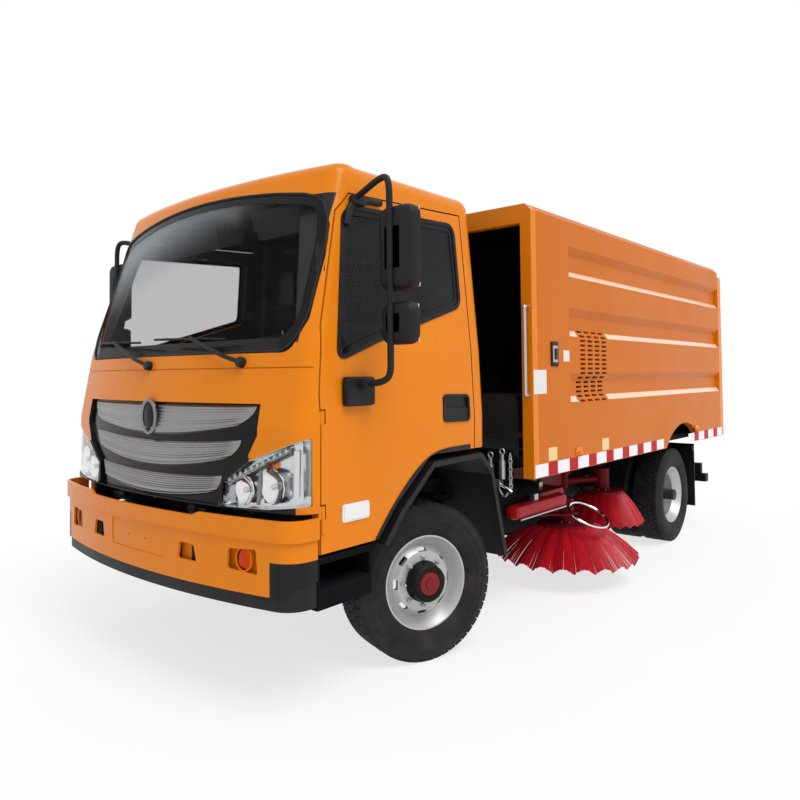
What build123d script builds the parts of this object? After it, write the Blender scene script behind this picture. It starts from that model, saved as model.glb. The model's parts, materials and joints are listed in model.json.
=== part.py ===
import os
from math import cos, radians, sin

from build123d import *

os.makedirs("parts", exist_ok=True)

# Driving dimensions, in millimetres and degrees
WHEELBASE = 3360
FRONT_OVERHANG = 1165
REAR_OVERHANG = 1145
TYRE_DIAMETER = 797
TYRE_WIDTH = 235
RIM_DIAMETER = 474
FRONT_WHEEL_Y = 835
KINGPIN_Y = 740
TWIN_OUTER_Y = 890
TWIN_SPACING = 262
STEER_AT_REST = -20

CAB_HALF = 992
CAB_BACK = -420
CAB_TOP = 2450
CAB_WALL = 50
CAB_BOW = 3860
CAB_WAIST = 1500
CAB_RISE = 950
CAB_PIVOT = (1030, 845)
CAB_PIN = 18
DOOR_HINGE = (862, 984)
DOOR_GAP = 7
HANDLE_POCKET = 14
RUNNING = 0.5

BODY_FRONT = -736
BODY_HALF = 1100
BODY_LOW = 842
BODY_TOP = 2463
BODY_WALL = 60
TAILGATE_THICK = 100
TIP_HINGE_Z = 840
TIP_HINGE_FROM_REAR = 250

RAIL_Y = 382
RAIL_WIDTH = 65
RAIL_WALL = 9
RAIL_LOW = 560
RAIL_TOP = 780
RAIL_FRONT = 935

# Derived places: d is measured forward from the front axle
LENGTH = FRONT_OVERHANG + WHEELBASE + REAR_OVERHANG
FRONT_AXLE_X = LENGTH / 2 - FRONT_OVERHANG
WHEEL_RADIUS = TYRE_DIAMETER / 2
TAIL_END = -(WHEELBASE + REAR_OVERHANG)
BODY_REAR = TAIL_END + TAILGATE_THICK
TIP_HINGE = (BODY_REAR + TIP_HINGE_FROM_REAR, TIP_HINGE_Z)
RAIL_INNER = RAIL_Y - RAIL_WIDTH / 2
RAIL_OUTER = RAIL_Y + RAIL_WIDTH / 2
TIP_EYE = (TIP_HINGE[0] + 700, TIP_HINGE[1] - 8)
TIP_FOOT = (TIP_HINGE[0] + 1305, 610)
TIP_Y = 464
TAIL_PIN = 18
TIP_PIN = 24
TIP_FOOT_PIN = 20
TIP_ROD = 22
TAIL_HINGE = (BODY_REAR - 50, BODY_TOP - 23)
SIDES = {"left": 1, "right": -1}


def at(d):
    """Row X of a place d ahead of the front axle."""
    return FRONT_AXLE_X + d


def up(z):
    """A height of the cab, which above the waist grows with the cab's top."""
    if z < CAB_WAIST:
        return z
    return CAB_WAIST + (z - CAB_WAIST) * (CAB_TOP - CAB_WAIST) / CAB_RISE


def slab(d0, d1, y0, y1, z0, z1, mode=Mode.ADD):
    """A box between two corners."""
    middle = ((at(d0) + at(d1)) / 2, (y0 + y1) / 2, (z0 + z1) / 2)
    with Locations(middle):
        Box(abs(d1 - d0), abs(y1 - y0), abs(z1 - z0), mode=mode)


def side_prism(points, y0, y1, rounding=0, mode=Mode.ADD):
    """An outline seen from the side, run across the vehicle from y0 to y1."""
    with BuildSketch(Plane.XZ.offset(-y0)) as outline:
        with BuildLine():
            Polyline(*[(at(d), z) for d, z in points], close=True)
        make_face()
        if rounding:
            fillet(outline.vertices(), radius=rounding)
    extrude(outline.sketch, amount=y0 - y1, mode=mode)


def front_prism(points, d0, d1, rounding=0, mode=Mode.ADD):
    """An outline seen from the front, run along the vehicle from d0 to d1."""
    with BuildSketch(Plane.YZ.offset(at(d0))) as outline:
        with BuildLine():
            Polyline(*points, close=True)
        make_face()
        if rounding:
            fillet(outline.vertices(), radius=rounding)
    extrude(outline.sketch, amount=d1 - d0, mode=mode)


def rod(start, end, radius, mode=Mode.ADD):
    """A round bar between two points given as (d, y, z)."""
    a = Vector(at(start[0]), start[1], start[2])
    b = Vector(at(end[0]), end[1], end[2])
    with BuildSketch(Plane(origin=a, z_dir=b - a)) as disc:
        Circle(radius)
    extrude(disc.sketch, amount=(b - a).length, mode=mode)


def tube(points, radius, bend):
    """A bent round bar through points given as (d, y, z), with its corners rounded by bend."""
    with BuildLine() as path:
        FilletPolyline(*[(at(d), y, z) for d, y, z in points], radius=bend)
    with BuildSketch(Plane(origin=path.line @ 0, z_dir=path.line % 0)) as disc:
        Circle(radius)
    sweep(disc.sketch, path=path.line)


def pad(d0, d1, y0, y1, z0, z1, rounding):
    """A box with all its edges rounded."""
    with BuildPart() as soft:
        slab(d0, d1, y0, y1, z0, z1)
        fillet(soft.edges(), radius=rounding)
    return soft.part


def save(builder, name):
    """Names a finished piece and writes it."""
    builder.part.label = name
    export_step(builder.part, "parts/" + name + ".step")


def bowed_plan(z, nose, half, back, corner, back_corner):
    """A level plan outline with a bowed front and rounded corners."""
    drop = half**2 / (2 * CAB_BOW)
    with BuildSketch(Plane.XY.offset(z)) as plan:
        with BuildLine():
            sides = Polyline((nose - drop, half), (back, half), (back, -half), (nose - drop, -half))
            ThreePointArc(sides @ 1, (nose, 0), sides @ 0)
        make_face()
        fillet(plan.vertices().sort_by(Axis.X)[-2:], radius=corner)
        fillet(plan.vertices().sort_by(Axis.X)[:2], radius=back_corner)
    return plan.sketch


def cab_hull(inset):
    """The cab's outer form, drawn in by inset on every side."""
    # height, nose, half width, front corner radius
    levels = [
        (600, 1102, CAB_HALF - 7, 112),
        (1230, 1086, CAB_HALF, 112),
        (up(1580), 1022, CAB_HALF - 17, 90),
        (CAB_TOP, 747, CAB_HALF - 97, 90),
    ]
    plans = []
    for z, nose, half, corner in levels:
        level = z - inset if z == CAB_TOP else z
        back = at(CAB_BACK) + inset
        plans.append(bowed_plan(level, at(nose) - inset, half - inset, back, corner - inset, 85 - inset))
    with BuildPart() as hull:
        loft(plans, ruled=True)
        if not inset:
            fillet(hull.faces().sort_by(Axis.Z)[-1].edges(), radius=80)
    return hull.part


HULL = cab_hull(0)
HULL_INSIDE = cab_hull(CAB_WALL)

# The cab's lower edge seen from the side: front panel, door sill, wheel arch
CAB_SIDE = [
    (1200, 880),
    (880, 880),
    (880, 705),
    (512, 705),
    (380, 845),
    (120, 1045),
    (60, 1055),
    (-500, 1055),
    (-500, 2600),
    (1200, 2600),
]
DOOR = [
    (872, 700),
    (872, 1380),
    (838, up(1670)),
    (690, up(2200)),
    (610, up(2290)),
    (-280, up(2332)),
    (-280, 1040),
    (60, 1040),
    (500, 690),
]
WINDOW = [
    (752, up(1530)),
    (655, up(2185)),
    (600, up(2225)),
    (-205, up(2262)),
    (-205, up(1830)),
    (480, up(1625)),
]
ROOF_SPLIT = up(2345)
HINGE_HEIGHTS = (850, 1250)


def windscreen_tool():
    """The windscreen's outline seen from the front, kept ahead of its slanting side edge."""
    with BuildPart() as tool:
        with BuildSketch(Plane.YZ.offset(at(560))) as outline:
            with BuildLine():
                half = [(845, up(2280)), (915, up(2100)), (920, up(1700)), (860, up(1556))]
                low = Polyline(*[(-y, z) for y, z in half], *reversed(half))
                ThreePointArc(low @ 1, (0, up(2362)), low @ 0)
            make_face()
            fillet(outline.vertices(), radius=70)
        extrude(amount=700)
        ahead = [(905, CAB_WAIST), (1300, CAB_WAIST), (1300, CAB_TOP), (632, CAB_TOP)]
        side_prism(ahead, -1000, 1000, mode=Mode.INTERSECT)
    return tool.part


SCREEN = windscreen_tool()


def cab_shell():
    """Cab walls in one piece, before they are parted into panels."""
    with BuildPart() as shell:
        add(HULL)
        side_prism(CAB_SIDE, -1100, 1100, mode=Mode.INTERSECT)
        add(HULL_INSIDE, mode=Mode.SUBTRACT)
    return shell.part


SHELL = cab_shell()


def door_cut(side, grow, mode):
    """The door's outline, grown by a gap, run through one side of the cab."""
    with BuildSketch(Plane.XZ.offset(-side * 700)) as outline:
        with BuildLine():
            Polyline(*[(at(d), z) for d, z in DOOR], close=True)
        make_face()
        fillet(outline.vertices().sort_by_distance((at(610), 0, up(2290)))[:1], radius=70)
        fillet(outline.vertices().sort_by_distance((at(-280), 0, up(2332)))[:1], radius=60)
        if grow:
            offset(amount=grow)
    extrude(outline.sketch, amount=-side * 400, mode=mode)


def window_cut(side, mode):
    """The side window's outline run through one door."""
    with BuildSketch(Plane.XZ.offset(-side * 700)) as outline:
        with BuildLine():
            Polyline(*[(at(d), z) for d, z in WINDOW], close=True)
        make_face()
        fillet(outline.vertices(), radius=40)
    extrude(outline.sketch, amount=-side * 400, mode=mode)


# Headlamp outline seen from the front, for the left side
LAMP = [(548, 885), (552, 990), (700, 1090), (1000, 1200), (1000, 915), (800, 890)]
GRILLE = [(745, 1335), (745, 1200), (690, 1100), (540, 1000), (535, 885)]


def mirrored(points):
    """The outline with its mirror image, as one loop."""
    return points + [(-y, z) for y, z in reversed(points)]


def lamp_cut(side, mode):
    """A headlamp's outline run back through the front wall."""
    with BuildSketch(Plane.YZ.offset(at(915))) as outline:
        with BuildLine():
            Polyline(*[(side * y, z) for y, z in LAMP], close=True)
        make_face()
        fillet(outline.vertices(), radius=18)
    extrude(outline.sketch, amount=400, mode=mode)


HULL_GLASS_OUT = cab_hull(5)
HULL_GLASS_IN = cab_hull(12)
HULL_PANEL = cab_hull(20)

# The seam over the front panel, as a shallow groove in the skin
SEAM = (1488, 1494)
with BuildPart() as seam:
    add(HULL)
    slab(890, 1300, -1200, 1200, *SEAM, mode=Mode.INTERSECT)
    add(HULL_GLASS_OUT, mode=Mode.SUBTRACT)

with BuildPart() as cab_front:
    add(SHELL)
    slab(-280, 1300, -1200, 1200, 600, ROOF_SPLIT, mode=Mode.INTERSECT)
    add(SCREEN, mode=Mode.SUBTRACT)
    for side in SIDES.values():
        door_cut(side, DOOR_GAP, Mode.SUBTRACT)
        lamp_cut(side, Mode.SUBTRACT)
        for z in HINGE_HEIGHTS:
            pin_line = (DOOR_HINGE[0], side * DOOR_HINGE[1])
            rod((*pin_line, z + RUNNING), (*pin_line, z + 56), 11)
            slab(DOOR_HINGE[0], 886, side * 976, side * 988, z + RUNNING, z + 56)
    with BuildSketch(Plane.YZ.offset(at(850))) as outline:
        with BuildLine():
            Polyline(*mirrored(GRILLE), close=True)
        make_face()
    extrude(outline.sketch, amount=400, mode=Mode.SUBTRACT)
    add(seam.part, mode=Mode.SUBTRACT)
save(cab_front, "cab_front")

with BuildPart() as cab_roof:
    add(SHELL)
    slab(-600, 1300, -1200, 1200, ROOF_SPLIT, 2700, mode=Mode.INTERSECT)
    add(SCREEN, mode=Mode.SUBTRACT)
save(cab_roof, "cab_roof")

with BuildPart() as cab_rear:
    add(SHELL)
    slab(-600, -280, -1200, 1200, 600, ROOF_SPLIT, mode=Mode.INTERSECT)
    for side in SIDES.values():
        door_cut(side, DOOR_GAP, Mode.SUBTRACT)
    slab(-500, -300, -560, 560, up(1780), up(2180), mode=Mode.SUBTRACT)
save(cab_rear, "cab_rear")

with BuildPart() as cab_glass:
    add(HULL_GLASS_OUT)
    add(HULL_GLASS_IN, mode=Mode.SUBTRACT)
    add(SCREEN, mode=Mode.INTERSECT)
    slab(CAB_BACK + 18, CAB_BACK + 24, -560, 560, up(1780), up(2180))
save(cab_glass, "cab_glass")

with BuildPart() as grille_panel:
    add(HULL_PANEL)
    add(HULL_INSIDE, mode=Mode.SUBTRACT)
    with BuildSketch(Plane.YZ.offset(at(850))) as outline:
        with BuildLine():
            Polyline(*mirrored(GRILLE), close=True)
        make_face()
    extrude(outline.sketch, amount=400, mode=Mode.INTERSECT)
save(grille_panel, "grille_panel")

# Grille bars: top and bottom in the middle, half width above and below, rise of both edges at the ends
BARS = [
    (1325, 1228, 715, 690, 1, 36),
    (1190, 1096, 650, 590, 20, 34),
    (1062, 966, 565, 500, 18, 32),
]
with BuildPart() as grille_bars:
    add(HULL)
    add(HULL_PANEL, mode=Mode.SUBTRACT)
    with BuildSketch(Plane.YZ.offset(at(850))) as outline:
        for top, bottom, wide, narrow, rise_top, rise_bottom in BARS:
            with BuildLine():
                ThreePointArc((-wide, top + rise_top), (0, top), (wide, top + rise_top))
                Line((wide, top + rise_top), (narrow, bottom + rise_bottom))
                ThreePointArc((narrow, bottom + rise_bottom), (0, bottom), (-narrow, bottom + rise_bottom))
                Line((-narrow, bottom + rise_bottom), (-wide, top + rise_top))
            make_face()
    extrude(outline.sketch, amount=400, mode=Mode.INTERSECT)
save(grille_bars, "grille_bars")

with BuildPart() as headlamps:
    for side in SIDES.values():
        lamp_cut(side, Mode.ADD)
    add(HULL_GLASS_OUT, mode=Mode.INTERSECT)
    add(HULL_INSIDE, mode=Mode.SUBTRACT)
save(headlamps, "headlamps")

FLOOR = [
    (1120, 870),
    (1120, 900),
    (440, 900),
    (330, 1090),
    (-500, 1090),
    (-500, 1056),
    (290, 1056),
    (410, 870),
]
with BuildPart() as cab_floor:
    side_prism(FLOOR, -922, 922)
    add(HULL_INSIDE, mode=Mode.INTERSECT)
    for side in SIDES.values():
        near = side * (RAIL_INNER - 56)
        far = side * (RAIL_INNER - 8)
        d, z = CAB_PIVOT
        side_prism([(d - 90, 872), (d - 4, 872), (d + 26, z), (d - 20, z - 25)], near, far)
        rod((d, near, z), (d, far, z), 30)
        rod((d, near, z), (d, far, z), CAB_PIN + RUNNING, mode=Mode.SUBTRACT)
save(cab_floor, "cab_floor")

COLUMN = ((562, 440, 1498), (790, 440, 1366))
with BuildPart() as dashboard:
    outline = [(985, 1500), (760, 1500), (700, 1440), (720, 1300), (820, 1180), (985, 1180)]
    side_prism(outline, -900, 900, rounding=18)
    add(HULL_INSIDE, mode=Mode.INTERSECT)
    rod(*COLUMN, 30, mode=Mode.SUBTRACT)
save(dashboard, "dashboard")

with BuildPart() as steering_wheel:
    column = Plane(origin=(at(560), 440, 1500), z_dir=(-0.5, 0, 0.866))
    with BuildSketch(column):
        Circle(215)
        Circle(185, mode=Mode.SUBTRACT)
        Circle(60)
        for turn in (0, 120, 240):
            with Locations(Location((0, 0), turn)):
                with Locations((115, 0)):
                    Rectangle(170, 34)
    extrude(amount=28)
    rod(*COLUMN, 30)
save(steering_wheel, "steering_wheel")

# Seats: middle across, half width
SEATS = [(470, 240), (-130, 200), (-560, 220)]
with BuildPart() as seats:
    for y, half in SEATS:
        side_prism([(280, 1090), (280, 1210), (-240, 1180), (-330, 1750), (-365, 1750), (-365, 1090)],
                   y - half, y + half, rounding=14)
        side_prism([(-262, 1762), (-292, 1960), (-362, 1960), (-362, 1762)], y - 130, y + 130, rounding=25)
        slab(-345, -325, y - 60, y + 60, 1740, 1770)
save(seats, "seats")

with BuildPart() as roof_box:
    with BuildSketch(Plane.XY.offset(CAB_TOP)) as plan:
        with BuildLine():
            edge = Polyline((at(455), 690), (at(-400), 690), (at(-400), -690), (at(455), -690))
            ThreePointArc(edge @ 1, (at(520), 0), edge @ 0)
        make_face()
    extrude(amount=32, taper=30)
save(roof_box, "roof_box")

# Mirror heads: inner edge, outer edge, lower edge, upper edge
MIRROR_HEADS = [(1090, 1290, 1825, 2195), (1098, 1282, 1587, 1773)]
for name, side in SIDES.items():
    with BuildPart() as door:
        add(SHELL)
        door_cut(side, 0, Mode.INTERSECT)
        window_cut(side, Mode.SUBTRACT)
        for z in HINGE_HEIGHTS:
            pin_line = (DOOR_HINGE[0], side * DOOR_HINGE[1])
            rod((*pin_line, z - 60), (*pin_line, z), 11)
            rod((*pin_line, z), (*pin_line, z + 62), 18, mode=Mode.SUBTRACT)
        pocket = side * (CAB_HALF - HANDLE_POCKET)
        slab(-226, 1, pocket, side * (CAB_HALF + 20), 1217, 1342, mode=Mode.SUBTRACT)
    save(door, "door_" + name)

    with BuildPart() as door_glass:
        window_cut(side, Mode.ADD)
        add(HULL_GLASS_OUT, mode=Mode.INTERSECT)
        add(HULL_GLASS_IN, mode=Mode.SUBTRACT)
    save(door_glass, "door_glass_" + name)

    with BuildPart() as mirror:
        low = [(650, 985, 1410), (645, 1080, 1425), (622, 1166, 1440)]
        high = [(622, 1166, up(2330)), (600, 1085, up(2330)), (578, 905, up(2264))]
        tube([(d, side * y, z) for d, y, z in low + high], 15, 45)
        add(pad(560, 744, side * 970, side * 1016, 1319, 1448, 12))
        for y0, y1, z0, z1 in MIRROR_HEADS:
            add(pad(557, 619, side * y0, side * y1, up(z0), up(z1), 24))
        add(door.part, mode=Mode.SUBTRACT)
    save(mirror, "mirror_" + name)

# Bumper
BUMPER_NOSE = FRONT_OVERHANG
BUMPER_BACK = 893


def bumper_ring(z0, z1, out, thick):
    """A bowed band round the front, out from the bumper's main face."""
    outer = bowed_plan(z0, at(BUMPER_NOSE + out), 1000 + out, at(400), 120, 10)
    inner = bowed_plan(z0, at(BUMPER_NOSE + out - thick), 1000 + out - thick, at(380), 120 - thick, 10)
    extrude(outer - inner, amount=z1 - z0)


BUMPER_TOP = 845
BUMPER_END_RISE = 18
BUMPER_LOW = 548
BUMPER_END_LOW = 600
PLATE_HALF = 235
TOW_OPENING = [(330, 640), (460, 640), (440, 715), (345, 715)]
FOG_OPENING = [(640, 640), (810, 630), (800, 735), (650, 725)]
PLATE_HEIGHTS = (628, 756)
with BuildPart() as plate_recess:
    bumper_ring(*PLATE_HEIGHTS, -12, 4)
    slab(1000, 1300, -PLATE_HALF, PLATE_HALF, *PLATE_HEIGHTS, mode=Mode.INTERSECT)

with BuildPart() as bumper:
    bumper_ring(775, BUMPER_TOP + BUMPER_END_RISE, 0, 14)
    bumper_ring(BUMPER_LOW, 780, -12, 12)
    slab(BUMPER_BACK, 1300, -1200, 1200, 400, 900, mode=Mode.INTERSECT)
    front_prism(mirrored([(440, BUMPER_TOP), (480, BUMPER_TOP + BUMPER_END_RISE), (480, 900)]), 900, 1300,
                mode=Mode.SUBTRACT)
    side_prism([(800, 500), (800, BUMPER_END_LOW), (1000, BUMPER_END_LOW), (1040, BUMPER_LOW), (1040, 500)],
               -1200, 1200, mode=Mode.SUBTRACT)
    add(plate_recess.part, mode=Mode.SUBTRACT)
    for side in SIDES.values():
        for outline, rounding in ((TOW_OPENING, 8), (FOG_OPENING, 12)):
            front_prism([(side * y, z) for y, z in outline], 900, 1300, rounding, Mode.SUBTRACT)
    for y in (-75, 75):
        rod((1000, y, 692), (1300, y, 692), 5, mode=Mode.SUBTRACT)
save(bumper, "bumper")

LIP_LOW = 490
LIP_SEAT = BUMPER_NOSE - 36 - RAIL_OUTER**2 / (2 * CAB_BOW) + 4
with BuildPart() as bumper_lip:
    bumper_ring(LIP_LOW, BUMPER_END_LOW, -22, 14)
    slab(BUMPER_BACK, 1300, -1200, 1200, 400, 900, mode=Mode.INTERSECT)
    side_prism([(1000, BUMPER_END_LOW), (1040, BUMPER_LOW), (1300, BUMPER_LOW), (1300, BUMPER_END_LOW + 9)],
               -1200, 1200, mode=Mode.SUBTRACT)
    for side in SIDES.values():
        slab(RAIL_FRONT - 40, LIP_SEAT, side * RAIL_INNER, side * RAIL_OUTER, 500, 540)
        slab(RAIL_FRONT - 40, RAIL_FRONT, side * RAIL_INNER, side * RAIL_OUTER, 500, RAIL_LOW)
save(bumper_lip, "bumper_lip")

FOG_Y = 723
FOG_SEAT = BUMPER_NOSE - 24 - (FOG_Y + 97) ** 2 / (2 * CAB_BOW)
with BuildPart() as fog_lamps:
    for side in SIDES.values():
        slab(FOG_SEAT - 45, FOG_SEAT - 25, side * (FOG_Y - 93), side * (FOG_Y + 97), 612, 752)
        slab(FOG_SEAT - 45, FOG_SEAT, side * (FOG_Y - 93), side * (FOG_Y + 97), 742, 752)
        rod((FOG_SEAT - 26, side * FOG_Y, 685), (FOG_SEAT + 8, side * FOG_Y, 685), 42)
save(fog_lamps, "fog_lamps")

# Chassis
BUMPER_SEAT = BUMPER_NOSE - 24.5 - (RAIL_OUTER + 49) ** 2 / (2 * CAB_BOW)
RAIL_BACK = TIP_HINGE[0] + 45
CROSSMEMBERS = [800, -960, -1500, -2300, -2900, RAIL_BACK + 60]
with BuildPart() as frame:
    for side in SIDES.values():
        slab(RAIL_BACK, RAIL_FRONT, side * RAIL_INNER, side * RAIL_OUTER, RAIL_LOW, RAIL_TOP)
        slab(RAIL_BACK - 5, RAIL_FRONT + 5, side * (RAIL_INNER - 5), side * (RAIL_OUTER - RAIL_WALL),
             RAIL_LOW + RAIL_WALL, RAIL_TOP - RAIL_WALL, mode=Mode.SUBTRACT)
    for d in CROSSMEMBERS:
        slab(d - 40, d + 40, RAIL_WALL - RAIL_OUTER, RAIL_OUTER - RAIL_WALL, RAIL_LOW + 60, RAIL_TOP - 40)
    for side in SIDES.values():
        slab(RAIL_FRONT - 150, BUMPER_SEAT, side * (RAIL_OUTER - 9), side * (RAIL_OUTER + 9), 600, 700)
        slab(BUMPER_SEAT - 40, BUMPER_SEAT, side * (RAIL_OUTER + 9), side * (RAIL_OUTER + 49), 600, 700)
save(frame, "frame")

with BuildPart() as cab_mounts:
    for side in SIDES.values():
        d, z = CAB_PIVOT
        lower = [(RAIL_FRONT - 90, RAIL_TOP), (RAIL_FRONT, RAIL_TOP), (d + 14, z - 18), (d + 18, z)]
        upper = [(d + 10, z + 15), (d - 10, z + 17), (RAIL_FRONT - 90, RAIL_TOP + 30)]
        side_prism(lower + upper, side * RAIL_INNER, side * RAIL_OUTER)
        rod((d, side * (RAIL_INNER - 66), z), (d, side * RAIL_OUTER, z), CAB_PIN)
    for side in SIDES.values():
        slab(-405, -345, side * RAIL_INNER, side * RAIL_OUTER, RAIL_TOP, 1000)
    slab(-405, -345, -RAIL_OUTER, RAIL_OUTER, 1000, 1050)
save(cab_mounts, "cab_mounts")

AXLE_Z = WHEEL_RADIUS
DIFFERENTIAL = 170
SPINDLE = 42
AXLE_TUBE = 45
with BuildPart() as front_axle:
    beam = [(480, -90), (640, -30), (KINGPIN_Y, -30), (KINGPIN_Y, 40), (620, 40), (460, 0)]
    front_prism(mirrored([(y, AXLE_Z + z) for y, z in beam]), -38, 38)
    for side in SIDES.values():
        rod((0, side * KINGPIN_Y, AXLE_Z - 55), (0, side * KINGPIN_Y, AXLE_Z + 55), 46)
        slab(-70, 70, side * RAIL_INNER, side * RAIL_OUTER, AXLE_Z - 2, AXLE_Z + 30)
save(front_axle, "front_axle")

# Leaf springs: middle, half length, height of the seat on the axle
SPRINGS = [(0, 560, AXLE_Z + 30), (-WHEELBASE, 640, AXLE_Z + 75)]
SPRING_RISE = 46
SPRING_LEAF = 12


def spring_leaf(middle, span, reach, low, side):
    """One bowed leaf, cut from the bow that the full reach has."""
    rise = SPRING_RISE * (span / reach) ** 2
    with BuildSketch(Plane.XZ.offset(-side * RAIL_INNER)) as leaf:
        with BuildLine():
            top = low + SPRING_LEAF
            ThreePointArc((at(middle - span), low + rise), (at(middle), low), (at(middle + span), low + rise))
            Line((at(middle + span), low + rise), (at(middle + span), top + rise))
            ThreePointArc((at(middle + span), top + rise), (at(middle), top), (at(middle - span), top + rise))
            Line((at(middle - span), top + rise), (at(middle - span), low + rise))
        make_face()
    extrude(leaf.sketch, amount=-side * RAIL_WIDTH)


with BuildPart() as springs:
    for side in SIDES.values():
        for middle, reach, seat in SPRINGS:
            for leaf in range(3):
                spring_leaf(middle, reach - 150 * leaf, reach, seat + 24 - 12 * leaf, side)
            for end in (-1, 1):
                near = middle + end * (reach - 60)
                far = middle + end * reach
                eye = seat + 36 + SPRING_RISE
                side_prism([(near, eye - 20), (far, eye - 20), (far, RAIL_LOW), (near, RAIL_LOW)],
                           side * RAIL_INNER, side * RAIL_OUTER)
save(springs, "springs")

with BuildPart() as rear_axle:
    rod((-WHEELBASE, -1005, AXLE_Z), (-WHEELBASE, 1005, AXLE_Z), AXLE_TUBE)
    rod((-WHEELBASE, -495, AXLE_Z), (-WHEELBASE, 495, AXLE_Z), 70)
    with Locations((at(-WHEELBASE), 0, AXLE_Z)):
        Sphere(DIFFERENTIAL)
    for side in SIDES.values():
        slab(-WHEELBASE - 70, -WHEELBASE + 70, side * RAIL_INNER, side * RAIL_OUTER, AXLE_Z + 40, AXLE_Z + 75)
save(rear_axle, "rear_axle")

with BuildPart() as engine:
    block = [(120, 520), (200, 600), (210, 760), (290, 830), (290, 960), (200, 1020)]
    front_prism(mirrored(block), -320, 300)
    slab(-200, 200, RAIL_WALL - RAIL_OUTER, RAIL_OUTER - RAIL_WALL, 640, 700)
    rod((300, 0, 700), (345, 0, 700), 150)
    side_prism([(-320, 500), (-320, 760), (-480, 720), (-860, 660), (-860, 500)], -160, 160, rounding=20)
    rod((-860, 0, 560), (-WHEELBASE + 140, 0, AXLE_Z + 20), 45)
    with Locations((at(-WHEELBASE), 0, AXLE_Z)):
        Sphere(DIFFERENTIAL, mode=Mode.SUBTRACT)
save(engine, "engine")

with BuildPart() as side_boxes:
    for side in SIDES.values():
        slab(545, 885, side * 700, side * 975, 470, 690)
        slab(560, 870, side * 760, side * 980, 560, 660, mode=Mode.SUBTRACT)
        slab(600, 680, side * RAIL_OUTER, side * 700, 600, 680)
    for side in SIDES.values():
        tank = [(470, 470), (880, 470), (880, 760), (470, 760)]
        front_prism([(side * y, z) for y, z in tank], -1200, -660, rounding=70)
        slab(-1150, -1080, side * RAIL_OUTER, side * 470, 600, 700)
        slab(-780, -710, side * RAIL_OUTER, side * 470, 600, 700)
save(side_boxes, "side_boxes")

# Front mudguard: outline seen from the side, outer line then inner line
GUARD_OUT = [(492, 680), (368, 818), (112, 1020), (-330, 1028), (-445, 915), (-580, 425)]
GUARD_IN = [(-548, 425), (-418, 900), (-318, 1000), (104, 992), (344, 796), (462, 668)]
with BuildPart() as mudguards:
    for side in SIDES.values():
        side_prism(GUARD_OUT + GUARD_IN, side * 640, side * 1010)
        slab(-470, -405, side * RAIL_OUTER, side * 700, RAIL_TOP - 60, RAIL_TOP - 20)
        slab(-470, -425, side * 640, side * 700, RAIL_TOP - 60, 960)
    for side in SIDES.values():
        slab(-WHEELBASE - 500, -WHEELBASE - 490, side * 500, side * 1020, 235, 800)
        slab(-WHEELBASE - 495, -WHEELBASE - 455, side * RAIL_OUTER, side * 1020, 740, 780)
save(mudguards, "mudguards")

with BuildPart() as sub_frame:
    for side in SIDES.values():
        slab(RAIL_BACK, -760, side * RAIL_INNER, side * RAIL_OUTER, RAIL_TOP, RAIL_TOP + 50)
        d, z = TIP_HINGE
        slab(d - 26, RAIL_BACK + 160, side * (RAIL_INNER - 30), side * RAIL_INNER, RAIL_TOP - 38, z + 22)
        d, z = TIP_FOOT
        rod((d, side * RAIL_OUTER, z), (d, side * (TIP_Y + 34), z), TIP_FOOT_PIN)
    d, z = TIP_HINGE
    rod((d, -RAIL_INNER, z), (d, RAIL_INNER, z), TIP_PIN)
save(sub_frame, "sub_frame")

with BuildPart() as aux_engine:
    block = [(RAIL_OUTER, RAIL_TOP + 50), (RAIL_OUTER, 1180), (300, 1330), (220, 1450)]
    front_prism(mirrored(block), -1750, -1150)
    rod((-1150, 0, 1090), (-1010, 0, 1090), 240)
    slab(-1010, -900, -330, 330, RAIL_TOP + 50, 1370)
    slab(-925, -890, -280, 280, RAIL_TOP + 100, 1320, mode=Mode.SUBTRACT)
    rod((-1450, 0, 1450), (-1450, 0, 1900), 160)
    rod((-1250, 190, 1440), (-1250, 190, 1650), 60)
    front_prism([(520, 1060), (960, 1060), (960, 1330), (520, 1330)], -1130, -800, rounding=60)
    slab(-1100, -830, RAIL_INNER, 560, RAIL_TOP + 50, RAIL_TOP + 90)
    slab(-1100, -830, 520, 560, RAIL_TOP + 50, 1150)
save(aux_engine, "aux_engine")

with BuildPart() as rear_guard:
    slab(TAIL_END + 10, TAIL_END + 90, -950, 950, 380, 455)
    for side in SIDES.values():
        top = [(RAIL_BACK + 90, RAIL_LOW), (RAIL_BACK + 5, RAIL_LOW)]
        foot = [(TAIL_END + 12, 455), (TAIL_END + 12, 440), (TAIL_END + 50, 440)]
        side_prism(top + foot, side * RAIL_INNER, side * RAIL_OUTER)
        slab(TAIL_END + 20, TAIL_END + 75, side * 560, side * 900, 455, 555)
        slab(TAIL_END + 15, TAIL_END + 32, side * 570, side * 890, 465, 545, mode=Mode.SUBTRACT)
save(rear_guard, "rear_guard")

# Brush gear: middle, across, tip height, disc height, tip radius, disc radius, then the arm's
# pivot, pivot across and bracket height
BRUSHES = {
    "front": (-1790, 760, 130, 370, 500, 205, -1430, 505, 520),
    "rear": (-2555, 700, 250, 500, 320, 170, -2210, 535, 660),
}
TUFTS = 24
TUFT_TIP = 38
with BuildPart() as brush_frame:
    for side in SIDES.values():
        slab(-2300, -1380, side * (RAIL_INNER - 20), side * RAIL_OUTER, 520, RAIL_LOW)
        slab(-2300, -1380, side * RAIL_OUTER, side * (RAIL_OUTER + 20), 330, RAIL_LOW)
        for middle, across, tip, disc, reach, plate, pivot, pivot_y, bracket in BRUSHES.values():
            slab(pivot - 45, pivot + 45, side * RAIL_OUTER, side * (pivot_y + 45), bracket, bracket + 40)
            rod((pivot, side * pivot_y, bracket - 92), (pivot, side * pivot_y, bracket + 20), 20)
save(brush_frame, "brush_frame")

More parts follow.
